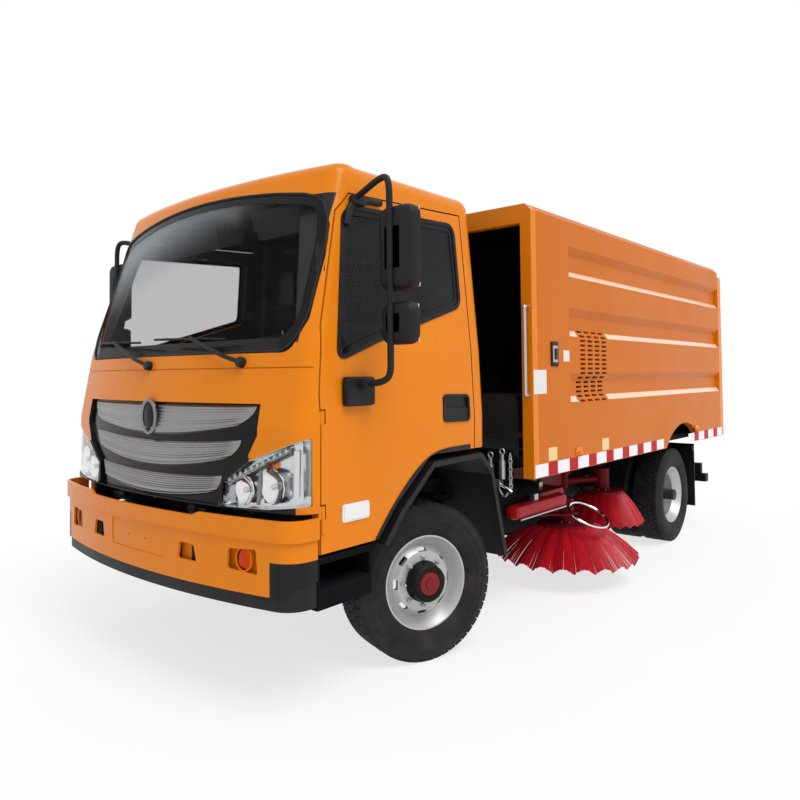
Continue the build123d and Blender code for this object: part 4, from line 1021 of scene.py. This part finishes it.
def arch_lip(made, skin, hand):
    """A black lip along the lower edge of the door, smooth round the wheel arch."""
    curve = [ARCH_LIP[0]]
    for a, b, c in zip(ARCH_LIP, ARCH_LIP[1:], ARCH_LIP[2:]):
        curve += bend((a + b) / 2, b, (b + c) / 2, 8)
    curve.append(ARCH_LIP[-1])
    upper, lower = [], []
    for point in curve:
        on_edge = [nearest(point, p, q) for p, q in zip(ARCH_EDGE, ARCH_EDGE[1:])]
        near = min(on_edge, key=lambda p: (p - point).length)
        near = near.lerp(point, 2 / max(4.0, (point - near).length))
        top, foot = skin.side(*point, hand, 1), skin.side(*near, hand, 1)
        if top and foot:
            upper.append(top)
            lower.append(foot)
    rise = Vector((0, hand * ARCH_LIP_THICKNESS * MM, 0))
    rows = [lower, upper, [p + rise for p in upper], [p + rise for p in lower]]
    count = len(upper)
    loops = grid(4, count, closed_rows=True, closed_columns=False)
    loops += [tuple(r * count for r in range(4)), tuple(r * count + count - 1 for r in range(4))]
    made.faces([p for row in rows for p in row], loops, PLASTIC)


def door_pieces(name, hand):
    """Window seal, handle, side lamp and inner panel of one door."""
    skin = Surface("door_" + name, "door_glass_" + name)
    made = Piece("door_trim_" + name, "door_" + name)
    # Seal on the skin, and a black edge on the glass
    outline = rounded(DOOR_WINDOW, 55)
    wide = [skin.side(*p, hand, 2) for p in inset(outline, -16)]
    thin = [skin.side(*p, hand, 2) for p in inset(outline, 6)]
    level = [Vector((b.x, a.y, b.z)) for a, b in zip(wide, thin)]
    made.band(wide, level, (0, hand * 3, 0), SEAL)
    rim = [p - Vector((0, hand * 4 * MM, 0)) for p in level]
    made.band(rim, [skin.side(*p, hand, 1) for p in inset(outline, 30)], (0, hand * 2, 0), GLOSS_BLACK)
    # Handle: bezel, dark recess and a flap to pull
    on_door = door_plane(skin, hand)
    bezel = rounded(HANDLE_BEZEL, 34)
    made.band([on_door(*p, 0.5) for p in bezel], [on_door(*p, 0.5) for p in inset(bezel, 15)],
              (0, hand * 8, 0), PLASTIC)
    made.plate([on_door(*p, -6) for p in inset(bezel, 9)], (0, hand * 2, 0), SEAL)
    made.plate([on_door(*p, -5) for p in rounded(HANDLE_FLAP, 16)], (0, hand * 9, 0), PLASTIC)
    # Side lamp in two steps
    lamp = rounded(SIDE_LAMP, 16)
    made.plate([skin.side(*p, hand, 0.5) for p in lamp], (0, hand * 5, 0), PALE)
    made.plate([skin.side(*p, hand, 5) for p in inset(lamp, 9)], (0, hand * 5, 0), PALE)
    arch_lip(made, skin, hand)
    # Inner panel with an arm rest
    panel = [place(d, hand * DOOR_PANEL_ACROSS, z) for d, z in rounded(DOOR_PANEL, 40)]
    made.plate(panel, (0, -hand * 12, 0), TRIM)
    made.block((420, 60, 70), at(170, hand * 885, 1330), TRIM, 18)
    made.done(slot="black_plastic")


MIRROR_FOOT = (652, 1384)
MIRROR_TUBE = [
    (650, 985, 1412), (648, 1060, 1418), (640, 1130, 1424), (624, 1166, 1450),
    (622, 1166, 1540), (622, 1166, 1900), (622, 1166, 2200), (622, 1164, 2290),
    (616, 1140, 2330), (600, 1075, 2325), (588, 990, 2296), (580, 912, 2266),
]
# Bar over the door's top corner: d, height
CORNER_BAR = ((648, 2140), (628, 2215), (590, 2256), (510, 2276), (400, 2282))
# Mirror heads: middle height, width, height
MIRROR_HEADS = ((2010, 200, 370), (1680, 184, 186))
MIRROR_ACROSS, MIRROR_AHEAD, MIRROR_CORNER = 1190, 588, 58
# Rings of a head: depth ahead, drawn in by
MIRROR_RINGS = ((-31, 6), (-26, 0), (8, 0), (22, 7), (29, 18), (31, 34))


def mirror_pieces(name, hand):
    """Two mirror heads on a bent tube, with the foot on the door."""
    made = Piece("mirror_arm_" + name, "door_" + name)
    foot = Surface("door_" + name).side(*MIRROR_FOOT, hand, 20)
    made.block((186, 40, 130), Matrix.Translation(foot), PLASTIC, 14)
    made.block((70, 70, 44), at(646, hand * 1035, 1420), PLASTIC, 12)
    made.pipe(places(MIRROR_TUBE, hand), 15, PLASTIC, 4)
    around = Surface("door_" + name, "door_glass_" + name, "cab_front")
    made.pipe([around.side(d, z, hand, 10) for d, z in CORNER_BAR], 17, PLASTIC)
    made.block((90, 40, 46), at(572, hand * 932, 2262), PLASTIC, 12)
    across = hand * MIRROR_ACROSS
    for z, width, height in MIRROR_HEADS:
        centre = place(MIRROR_AHEAD, across, z)
        y, up = width / 2, height / 2
        outline = rounded([(-y, -up), (y, -up), (y, up), (-y, up)], MIRROR_CORNER, 8)
        made.shell([[centre + Vector((depth, p.x, p.y)) * MM for p in inset(outline, draw)]
                    for depth, draw in MIRROR_RINGS], PLASTIC)
        made.block((26, width * 0.52, height * 0.55), at(606, across - hand * 16, z), PLASTIC, 10)
        made.block((6, width - 22, height - 22), at(556, across, z), MIRROR, 2)
    made.done(slot="black_plastic", replaces=("mirror_" + name,))


PILLAR_VENT = [(806, 1915), (784, 1915), (752, 2040), (774, 2040)]


def pillar_vents():
    """A short dark vent on each windscreen pillar."""
    made = Piece("pillar_vents", "cab")
    skin = Surface("cab_front", "cab_glass")
    for hand in SIDES.values():
        spots = [skin.side(d, z, hand, 0.4) for d, z in PILLAR_VENT]
        if None not in spots:
            made.plate(spots, (0, hand * 2.5, 0), SEAL)
    made.done(slot="black_plastic")


# Bumper

# A fog lamp's pocket: from and to across, height of the rays, share of the way and height of its middle
FOG_FROM, FOG_TO, FOG_RAY, FOG_SHARE, FOG_HEIGHT = 610, 850, 690, 0.47, 0.685
FOG_SQUASH = Matrix.Diagonal((0.9, 1.12, 1.0, 1.0))
FOG_LAMP = (
    ([(-4, 0), (-4, 47), (17, 49), (20, 46), (17, 42)], PAINT),
    ([(2, 0), (2, 42), (14, 40), (22, 28), (26, 0)], AMBER),
    ([(0, 0), (1, 40), (1, 0)], REFLECT),
)
# Backs of the tow openings: hand, depth, finish; the right one is painted shade, a dark sheet where the opening
# shows through
TOW_BACKS = ((1, 0.030, PAINT), (-1, 0.045, SHADE))
TOW_FROM, TOW_TO, TOW_HEIGHT = 480, 300, 680


def bumper_pieces():
    """Fog lamps in orange pockets and the backs of the tow openings, the right one a dark sheet of painted shade.
    """
    made = Piece("fog_lamp_units", "chassis")
    face = Surface("bumper")
    for hand in SIDES.values():
        near, far = face.front(hand * FOG_FROM, FOG_RAY), face.front(hand * FOG_TO, FOG_RAY)
        middle = near.lerp(far, FOG_SHARE)
        middle.z = FOG_HEIGHT
        out = Vector((far.y - near.y, near.x - far.x, 0)) * hand
        made.block((230, 150, 6), along(middle - AHEAD * 40 * MM, out), PAINT, 2)
        for profile, material in FOG_LAMP:
            made.lathe(profile, along(middle - AHEAD * 26 * MM, out) @ FOG_SQUASH, material, 32)
    for hand, depth, material in TOW_BACKS:
        pocket = face.front(hand * TOW_FROM, TOW_HEIGHT).lerp(face.front(hand * TOW_TO, TOW_HEIGHT), 0.45)
        made.block((6, 170, 100), Matrix.Translation(pocket - Vector((depth, 0, 0.003))), material, 2)
    made.done(slot="lamp", replaces=("fog_lamps",))


# Wheels

WHEEL_RADIUS, TYRE_HALF = 398.5, 0.1175
TREAD_DEPTH, TREAD_PITCHES, BLOCK_LENGTH, PITCH_LENGTH = 11, 54, 41, 46
CARCASS = [
    (-92, 237), (-104, 250), (-113, 285), (-117, 322), (-112, 352), (-103, 376), (-92, 387.5), (92, 387.5),
    (103, 376), (112, 352), (117, 322), (113, 285), (104, 250), (92, 237), (80, 242), (96, 300), (88, 350),
    (-88, 350), (-96, 300), (-80, 242),
]
# Beads on the side wall: radius, distance from the tyre's middle
BEADS = ((258, 104), (306, 115), (344, 113))
# Tread blocks: place along the axle, width, share of a pitch ahead
TREAD = ((-78, 34, 0.0), (-39, 36, 0.4), (0, 34, 0.0), (39, 36, 0.4), (78, 34, 0.0))
NUT = [(0, 0), (0, 15), (4, 15), (4, 13), (20, 13), (22, 8), (34, 8), (34, 0)]
# Hubs: radius of the ring of nuts and its place along the axle, then turned pieces with finish and steps
FRONT_HUB = (0.122, 0.058, (
    ([(60, 0), (60, 104), (72, 104), (80, 97), (124, 93), (131, 84), (131, 62), (128, 62), (128, 0)],
     CHASSIS, 40),
    ([(127, 0), (127, 60), (133, 56), (136, 30), (142, 28), (142, 0)], HUB_RED, 32),
))
REAR_HUB = (0.112, -0.116, (
    ([(-118, 0), (-118, 86), (-40, 82), (-26, 70), (-22, 0)], CHASSIS, 40),
))


def tread_pitch(part):
    """Five blocks across the tread, one pitch long."""
    for along_axle, width, shift in TREAD:
        spot = Matrix.Translation(Vector((-TREAD_DEPTH / 2 - 1, shift * PITCH_LENGTH, along_axle)) * MM)
        part.block((TREAD_DEPTH + 2, BLOCK_LENGTH, width), spot, RUBBER, 1.5, steps=1)


def tyre(made, matrix):
    """A tyre with a ribbed side wall and a blocked tread, its axle along Z."""
    made.lathe(CARCASS, matrix, RUBBER, 72, closed=True)
    for hand in (-1, 1):
        for radius, width in BEADS:
            bead = [(hand * (width + 2.5 * math.sin(t)), radius + 3 * math.cos(t)) for t in turns(6)]
            made.lathe(bead, matrix, RUBBER, 72, closed=True)
    blocks = repeat(RING, tread_pitch, RUBBER, Count=TREAD_PITCHES, Radius=(WHEEL_RADIUS - 2) * MM)
    made.take(blocks, RUBBER, matrix)


def nuts(made, matrix, count, radius):
    """A ring of wheel nuts on their studs, pointing along Z."""
    ring = repeat(RING, lambda part: part.lathe(NUT, Matrix(), ZINC, 6), ZINC, Count=count, Radius=radius)
    made.take(ring, ZINC, matrix)


def hub_piece(name, body, hub, sizes):
    """Wheel nuts and the turned pieces in the middle of a wheel."""
    radius, run, profiles = sizes
    made = Piece(name, body)
    nuts(made, hub @ Matrix.Translation((0, 0, run)), 8, radius)
    for profile, material, steps in profiles:
        made.lathe(profile, hub, material, steps)
    made.done(slot="chassis_paint")


def wheels():
    """Tyres, wheel nuts and hub caps on every wheel."""
    for name, hand in SIDES.items():
        low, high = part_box("tyre_front_" + name)
        joint = next(row for row in frame["joints"] if row["name"] == "spin_front_" + name)
        hub = along((low + high) / 2, Vector(joint["axis"]) * hand)
        body = "front_wheel_" + name
        made = Piece("front_tyre_" + name, body)
        tyre(made, hub)
        made.done(slot="tyre", replaces=("tyre_front_" + name,))
        hub_piece("front_hub_" + name, body, hub, FRONT_HUB)

        body = "rear_wheels_" + name
        low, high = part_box("tyres_rear_" + name)
        middle = (low + high) / 2
        right, left = (along(Vector((middle.x, y, middle.z)), (0, hand, 0))
                       for y in (low.y + TYRE_HALF, high.y - TYRE_HALF))
        made = Piece("rear_tyres_" + name, body)
        for axis in (right, left):
            tyre(made, axis)
        made.done(slot="tyre", replaces=("tyres_rear_" + name,))
        hub_piece("rear_hub_" + name, body, left if hand > 0 else right, REAR_HUB)


# Brushes

# Brush: tip height, disc height, tip radius, disc radius
BRUSHES = {"front": (130, 370, 500, 205), "rear": (250, 500, 320, 170)}
FANS, BRISTLES_IN_FAN, FAN_PLEAT, BRISTLE_RADIUS, BRISTLE_SEED = 22, 64, 0.075, 0.0028, 4


def brushes():
    """Red tufts on a disc, one for each brush."""
    for where, (tip, disc, reach, plate) in BRUSHES.items():
        for name in SIDES:
            node_name = "brush_" + where + "_" + name
            low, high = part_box(node_name)
            middle = Vector(((low.x + high.x) / 2, (low.y + high.y) / 2, disc * MM))
            made = Piece("bristles_" + where + "_" + name, node_name)
            tufts = grow(BRISTLES, {
                "Fans": FANS, "Bristles": BRISTLES_IN_FAN, "Disc Radius": (plate - 12) * MM,
                "Reach": (reach - plate - 6) * MM, "Drop": (disc - tip - 14) * MM, "Pleat": FAN_PLEAT,
                "Thickness": BRISTLE_RADIUS, "Seed": BRISTLE_SEED, "Material": BRISTLE,
            })
            made.take(tufts, BRISTLE, Matrix.Translation(middle - UP * 4 * MM))
            top = along(middle, UP)
            made.lathe([(-20, 0), (-20, plate - 8), (-14, plate), (14, plate), (20, plate - 8), (20, 60),
                        (24, 56), (24, 0)], top, DARK_RED, 48)
            nuts(made, top @ Matrix.Translation((0, 0, 0.018)) @ Matrix.Scale(0.6, 4), 6, 0.09)
            made.done(slot="bristle", replaces=(node_name,))


# Hopper body

BODY_FACE = 1100
STRIPE_LOW, STRIPE_HIGH, STRIPE_THICKNESS = 846, 922, 1.5
WHITE_LENGTH, RED_LENGTH = 157, 121
# Stripes of each colour: finish, length, start within a pitch, how many fewer than the white ones
STRIPES = ((STRIPE_WHITE, WHITE_LENGTH, 0, 0), (STRIPE_RED, RED_LENGTH, WHITE_LENGTH, 1))
STRIPE_PITCH = WHITE_LENGTH + RED_LENGTH
# Runs of stripes: start, count of white ones
STRIPE_RUNS = ((-749, 8), (-3457, 4))


def stripes(made, hand):
    """The red and white band along the lower edge of one side."""
    for material, length, shift, fewer in STRIPES:
        size = (length - 1, STRIPE_THICKNESS, STRIPE_HIGH - STRIPE_LOW)
        for start, count in STRIPE_RUNS:
            row = repeat(ROW, lambda part: part.block(size, Matrix(), material, 0.4, steps=1), material,
                         Count=count - fewer, Step=(-STRIPE_PITCH * MM, 0, 0))
            middle = (STRIPE_LOW + STRIPE_HIGH) / 2
            made.take(row, material, at(start - shift - length / 2, hand * (BODY_FACE + 1), middle))


LABEL_FACE, TAB_FACE, EYE_FACE = BODY_FACE + 2, BODY_FACE + 6, BODY_FACE + 24
LABELS = (
    ((-745, BODY_FACE, 1335), (-900, LABEL_FACE, 1478), LABEL, 0.6),
    ((-1125, BODY_FACE, 1530), (-1205, LABEL_FACE, 1600), LABEL, 0.6),
    ((-912, BODY_FACE, 930), (-1020, LABEL_FACE, 1010), REFLECTOR, 0.6),
    ((-1674, BODY_FACE, 930), (-1784, LABEL_FACE, 1010), REFLECTOR, 0.6),
)
TABS = (-1320, -3684)
# Lock on the side: size, lift off the face, finish, rounding
LOCK = (((92, 10, 150), 4, SEAL, 8), ((60, 10, 105), 8, ZINC, 6), ((34, 12, 70), 12, GLOSS_BLACK, 5))
GRAB_RAIL = [(-736, 1074, 1330), (-694, 1074, 1330), (-694, 1074, 1850), (-736, 1074, 1850)]


def body_fittings(name, hand):
    """Stripe, labels, reflectors, tabs, lock and grab rail of one side."""
    made = Piece("body_fittings_" + name, "hopper")
    stripes(made, hand)
    made.boxes(LABELS, hand)
    for d in TABS:
        made.boxes((((d - 45, BODY_FACE, 930), (d + 45, TAB_FACE, 985), PAINT, 2),), hand)
        eye = ((d - 25, BODY_FACE, 940), (d - 25, EYE_FACE, 945),
               (d + 25, EYE_FACE, 945), (d + 25, BODY_FACE, 940))
        made.pipe(places(eye, hand), 7, PAINT)
    for size, lift, material, rounding in LOCK:
        made.block(size, at(-1004, hand * (BODY_FACE + lift), 1575), material, rounding)
    made.pipe(places(bent(GRAB_RAIL, 26), hand), 11, SILVER, 4)
    made.done(slot="orange_paint")


# Lower edges of the three pressed bands, the rise of their lower slope and its depth
BAND_FEET = (2067.5, 1686.5, 1268.3)
BAND_SLOPE, BAND_DEPTH = 50, 34
BAND_START, BAND_END = -1222, -4400
# The lower two bands stop at the vent
VENT_START, VENT_END, VENT_TOP = -1335, -1805, 1800


def band_highlights(name, hand):
    """A painted highlight on the lower slope of each pressed band, standing for the sky it reflects."""
    made = Piece("band_edges_" + name, "hopper")
    for foot in BAND_FEET:
        runs = [(BAND_START, BAND_END)]
        if foot < VENT_TOP:
            runs = [(BAND_START, VENT_START), (VENT_END, BAND_END)]
        for start, end in runs:
            corners = [place(d, hand * (BODY_FACE - BAND_DEPTH * share), foot + BAND_SLOPE * share)
                       for d, share in ((start, 0.1), (end, 0.1), (end, 0.8), (start, 0.8))]
            made.plate(corners, (0, hand * 1.2, 0.8), BAND_HIGHLIGHT)
    made.done(slot="orange_paint")


# Lamps across the rear bar: from, to, finish
REAR_LAMPS = [(572, 690, RED_LENS), (694, 790, AMBER), (794, 888, LENS)]


def rear_lamps():
    """Lenses in the boxes of the rear bar, over bright backs."""
    made = Piece("rear_lamp_lenses", "chassis")
    for hand in SIDES.values():
        for inner, outer, lens in REAR_LAMPS:
            made.boxes((((-4484, inner, 467), (-4476, outer, 543), lens, 2),
                        ((-4475.5, inner, 467), (-4473.5, outer, 543), REFLECT, 0)), hand)
    made.done(slot="lamp")


# Red panel with its two brackets, then both housings over a front brush, each with its plate and cap
BRUSH_HOUSING = (
    ((-1262, 590, 600), (-2060, 602, 800), DARK_RED, 3),
    ((-1355, 412, 640), (-1305, 592, 690), DARK_RED, 4),
    ((-2015, 412, 640), (-1965, 592, 690), DARK_RED, 4),
    ((-1262, 600, 590), (-1640, 845, 672), RED_HOUSING, 34),
    ((-1290, 836, 594), (-1612, 848, 604), ZINC, 3),
    ((-1420, 700, 670), (-1470, 760, 712), ZINC, 6),
    ((-750, 878, 578), (-1420, 978, 668), RED_HOUSING, 40),
    ((-790, 970, 578), (-1380, 980, 588), ZINC, 3),
    ((-1010, 910, 664), (-1060, 950, 706), ZINC, 6),
)
BRUSH_HOSE = [(-1440, 730, 700), (-1560, 720, 760), (-1760, 660, 720), (-1900, 604, 700)]
GUARD_MIDDLE, GUARD_BAR = (-1730, 965, 470), 9
GUARD_STAYS = (-1830, -1740)
GUARD_WEB = [(-1430, 540, 452), (-1470, 470, 452), (-1840, 660, 452), (-1880, 800, 452), (-1800, 860, 452),
             (-1700, 840, 452)]


def brush_drive(name, hand):
    """Red panel and housings over the front brush on the chassis, and the hoop and web on its arm."""
    made = Piece("brush_housing_" + name, "chassis")
    made.boxes(BRUSH_HOUSING, hand)
    made.pipe(places(BRUSH_HOSE, hand), 9, SEAL)
    made.done(slot="red_paint")
    guard = Piece("brush_guard_" + name, "arm_front_" + name)
    middle = places([GUARD_MIDDLE], hand)[0]
    guard.pipe(oval(middle, (175, 0, 0), (0, hand * 125, -70), 14), GUARD_BAR, CHROME, closed=True, steps=4)
    for d in GUARD_STAYS:
        guard.pipe(places(((d, 800, 500), (d + 20, 830, 520), (d + 40, 846, 534)), hand), GUARD_BAR, CHROME)
    guard.plate(places(GUARD_WEB, hand), (0, 0, 12), DARK_RED)
    guard.done(slot="red_paint")


CHAIN_TOP, CHAIN_LINKS, LINK_STEP = (-676, 978, 968), 9, 24
# Valves on the board: across, low, high
VALVES = ((930, 840, 985), (850, 860, 960))
VALVE_LINE = -664
BOARD = (((-704, 600, 756), (-696, 985, 1010), CHASSIS, 3),)
LEVER_BOSS = (((-690, 880, 790), (-640, 925, 835), ZINC, 6),)
# Bars on the board
LEVER = [(-660, 900, 815), (-640, 960, 800), (-650, 1000, 770)]
HOOK = [(-660, 905, 790), (-655, 930, 745), (-650, 960, 740), (-650, 972, 765)]
CHAIN_STAPLE = [(-698, 965, 990), (-680, 975, 992), (-676, 978, 985)]


def valve_board():
    """Valves, levers and a safety chain on a board behind the cab, on the left side."""
    made = Piece("valve_board", "chassis")
    made.boxes(BOARD)
    for y, low, high in VALVES:
        profile = [(low, 0), (low, 20), (high - 40, 20), (high - 40, 12), (high, 12), (high, 0)]
        made.lathe(profile, at(VALVE_LINE, y, 0), ZINC, 20)
        made.boxes((((-698, y - 14, low + 20), (-660, y + 14, low + 44), CHASSIS, 3),))
        eye = oval(place(VALVE_LINE, y, high + 14), (0, 16, 0), (0, 0, 16), 10)
        made.pipe(eye, 5, ZINC, closed=True, steps=3)
    made.pipe(places(LEVER), 9, CHROME)
    made.boxes(LEVER_BOSS)
    made.pipe(places(HOOK), 7, ZINC)
    made.pipe(places(CHAIN_STAPLE), 5, ZINC)
    # Round links, each turned across the last
    for k in range(CHAIN_LINKS):
        centre = place(*CHAIN_TOP) - UP * LINK_STEP * k * MM
        link = oval(centre, (0, 10, 0) if k % 2 else (10, 0, 0), (0, 0, 18), 8)
        made.pipe(link, 3.2, ZINC, 2, 2, closed=True)
    made.done(slot="chassis_paint")


# A dark sheet of painted shade behind each side vent's slots
VENT_SHADE = (((-1345, 1038, 1250), (-1795, 1034, 1765), GLOSS_BLACK, 0),)


def vent_liners():
    """Painted shade: a gloss black sheet behind the slots of both side vents."""
    made = Piece("vent_liners", "hopper")
    for hand in SIDES.values():
        made.boxes(VENT_SHADE, hand)
    made.done(slot="black_plastic")


WORK_LAMP_FOOT = (-4230, 960, 2448)


def work_lamps():
    """Work lamps on the rear corners of the roof."""
    made = Piece("work_lamps", "hopper")
    for hand in SIDES.values():
        foot = places([WORK_LAMP_FOOT], hand)[0]
        made.block((60, 50, 8), Matrix.Translation(foot + UP * 12 * MM), CHASSIS, 2)
        made.lathe([(0, 0), (0, 5), (6, 5), (6, 0)], along(foot, UP), CHASSIS, 12)
    made.done(slot="chassis_paint")


# Stage, light and camera

CAMERA_AT = (4.623, 3.134, 1.455)
CAMERA_YAW, CAMERA_PITCH, CAMERA_ROLL = 41.22, 1.88, -0.49
CAMERA_LENS, CAMERA_SENSOR = 31.77, 36
CAMERA_SHIFT = (0.0276, -0.0601)


def camera():
    """The camera at the photograph's place, given by its heading, tilt and roll in degrees."""
    yaw, pitch, roll = (math.radians(a) for a in (CAMERA_YAW, CAMERA_PITCH, CAMERA_ROLL))
    forward = Vector((-math.cos(yaw) * math.cos(pitch), -math.sin(yaw) * math.cos(pitch), math.sin(pitch)))
    right = forward.cross(UP).normalized()
    up = right.cross(forward)
    side = math.cos(roll) * right + math.sin(roll) * up
    top = -math.sin(roll) * right + math.cos(roll) * up
    data = bpy.data.cameras.new("camera")
    data.sensor_width = CAMERA_SENSOR
    data.lens = CAMERA_LENS
    data.shift_x, data.shift_y = CAMERA_SHIFT
    made = bpy.data.objects.new("camera", data)
    made.matrix_world = Matrix.Translation(CAMERA_AT) @ Matrix((side, top, -forward)).transposed().to_4x4()
    scene.collection.objects.link(made)
    scene.camera = made


def seen_ray(tree):
    """One for rays that the camera, a mirror or glass sends out."""
    path = node(tree, "ShaderNodeLightPath").outputs
    both = calc(tree, "MAXIMUM", path["Is Camera Ray"], path["Is Glossy Ray"])
    return calc(tree, "MAXIMUM", both, path["Is Transmission Ray"])


def mix_shaders(tree, share, first, second, leave):
    """Leads two shaders to an output, mixed by a share of the second."""
    mix = node(tree, "ShaderNodeMixShader", Fac=share)
    feed(tree, mix.inputs[1], first)
    feed(tree, mix.inputs[2], second)
    feed(tree, leave, mix.outputs[0])


WHITE, SKY = (1, 1, 1, 1), (0.96, 0.98, 1.0, 1)
SKY_LEVEL, SUN_LEVEL, SUN_SPREAD = 0.55, 1.9, 35
SUN_WAY = (-0.12, -0.54, -0.83)
FLOOR_GLOW, FLOOR_REACH = 0.72, 40.0


def light():
    """A pale sky all round and one broad soft sun from the left and above."""
    world = bpy.data.worlds.new("studio")
    scene.world = world
    world.use_nodes = True
    tree = world.node_tree
    tree.nodes.clear()
    lit = node(tree, "ShaderNodeBackground", Color=SKY, Strength=SKY_LEVEL)
    shown = node(tree, "ShaderNodeBackground", Color=WHITE, Strength=1.0)
    leave = node(tree, "ShaderNodeOutputWorld").inputs[0]
    mix_shaders(tree, seen_ray(tree), lit.outputs[0], shown.outputs[0], leave)
    data = bpy.data.lights.new("sun", "SUN")
    data.energy = SUN_LEVEL
    data.angle = math.radians(SUN_SPREAD)
    made = bpy.data.objects.new("sun", data)
    made.rotation_mode = "QUATERNION"
    made.rotation_quaternion = Vector(SUN_WAY).to_track_quat("-Z", "Y")
    scene.collection.objects.link(made)


def floor():
    """A pale floor that keeps the shadow."""
    made, tree = blank("pale floor", Base_Color=WHITE, Roughness=0.9)[:2]
    shader = tree.nodes["Principled BSDF"].outputs[0]
    glow = node(tree, "ShaderNodeEmission", Color=WHITE, Strength=1.0).outputs[0]
    share = calc(tree, "MULTIPLY", seen_ray(tree), FLOOR_GLOW)
    mix_shaders(tree, share, shader, glow, tree.nodes["Material Output"].inputs[0])
    data = bpy.data.meshes.new("floor")
    corners = [(x * FLOOR_REACH, y * FLOOR_REACH, 0) for x, y in ((-1, -1), (1, -1), (1, 1), (-1, 1))]
    data.from_pydata(corners, [], [(0, 1, 2, 3)])
    data.materials.append(made)
    ground = bpy.data.objects.new("floor", data)
    scene.collection.objects.link(ground)


dress_frame()
windscreen_border()
grille_bars()
lamp_trim()
oval_ring()
wipers()
headlamps()
roof_fittings()
steering_wheel()
seats()
cab_inside()
for name, hand in SIDES.items():
    door_pieces(name, hand)
    mirror_pieces(name, hand)
    body_fittings(name, hand)
    band_highlights(name, hand)
    brush_drive(name, hand)
pillar_vents()
bumper_pieces()
wheels()
brushes()
vent_liners()
work_lamps()
rear_lamps()
valve_board()
camera()
light()
floor()
scene.view_settings.view_transform = "Standard"
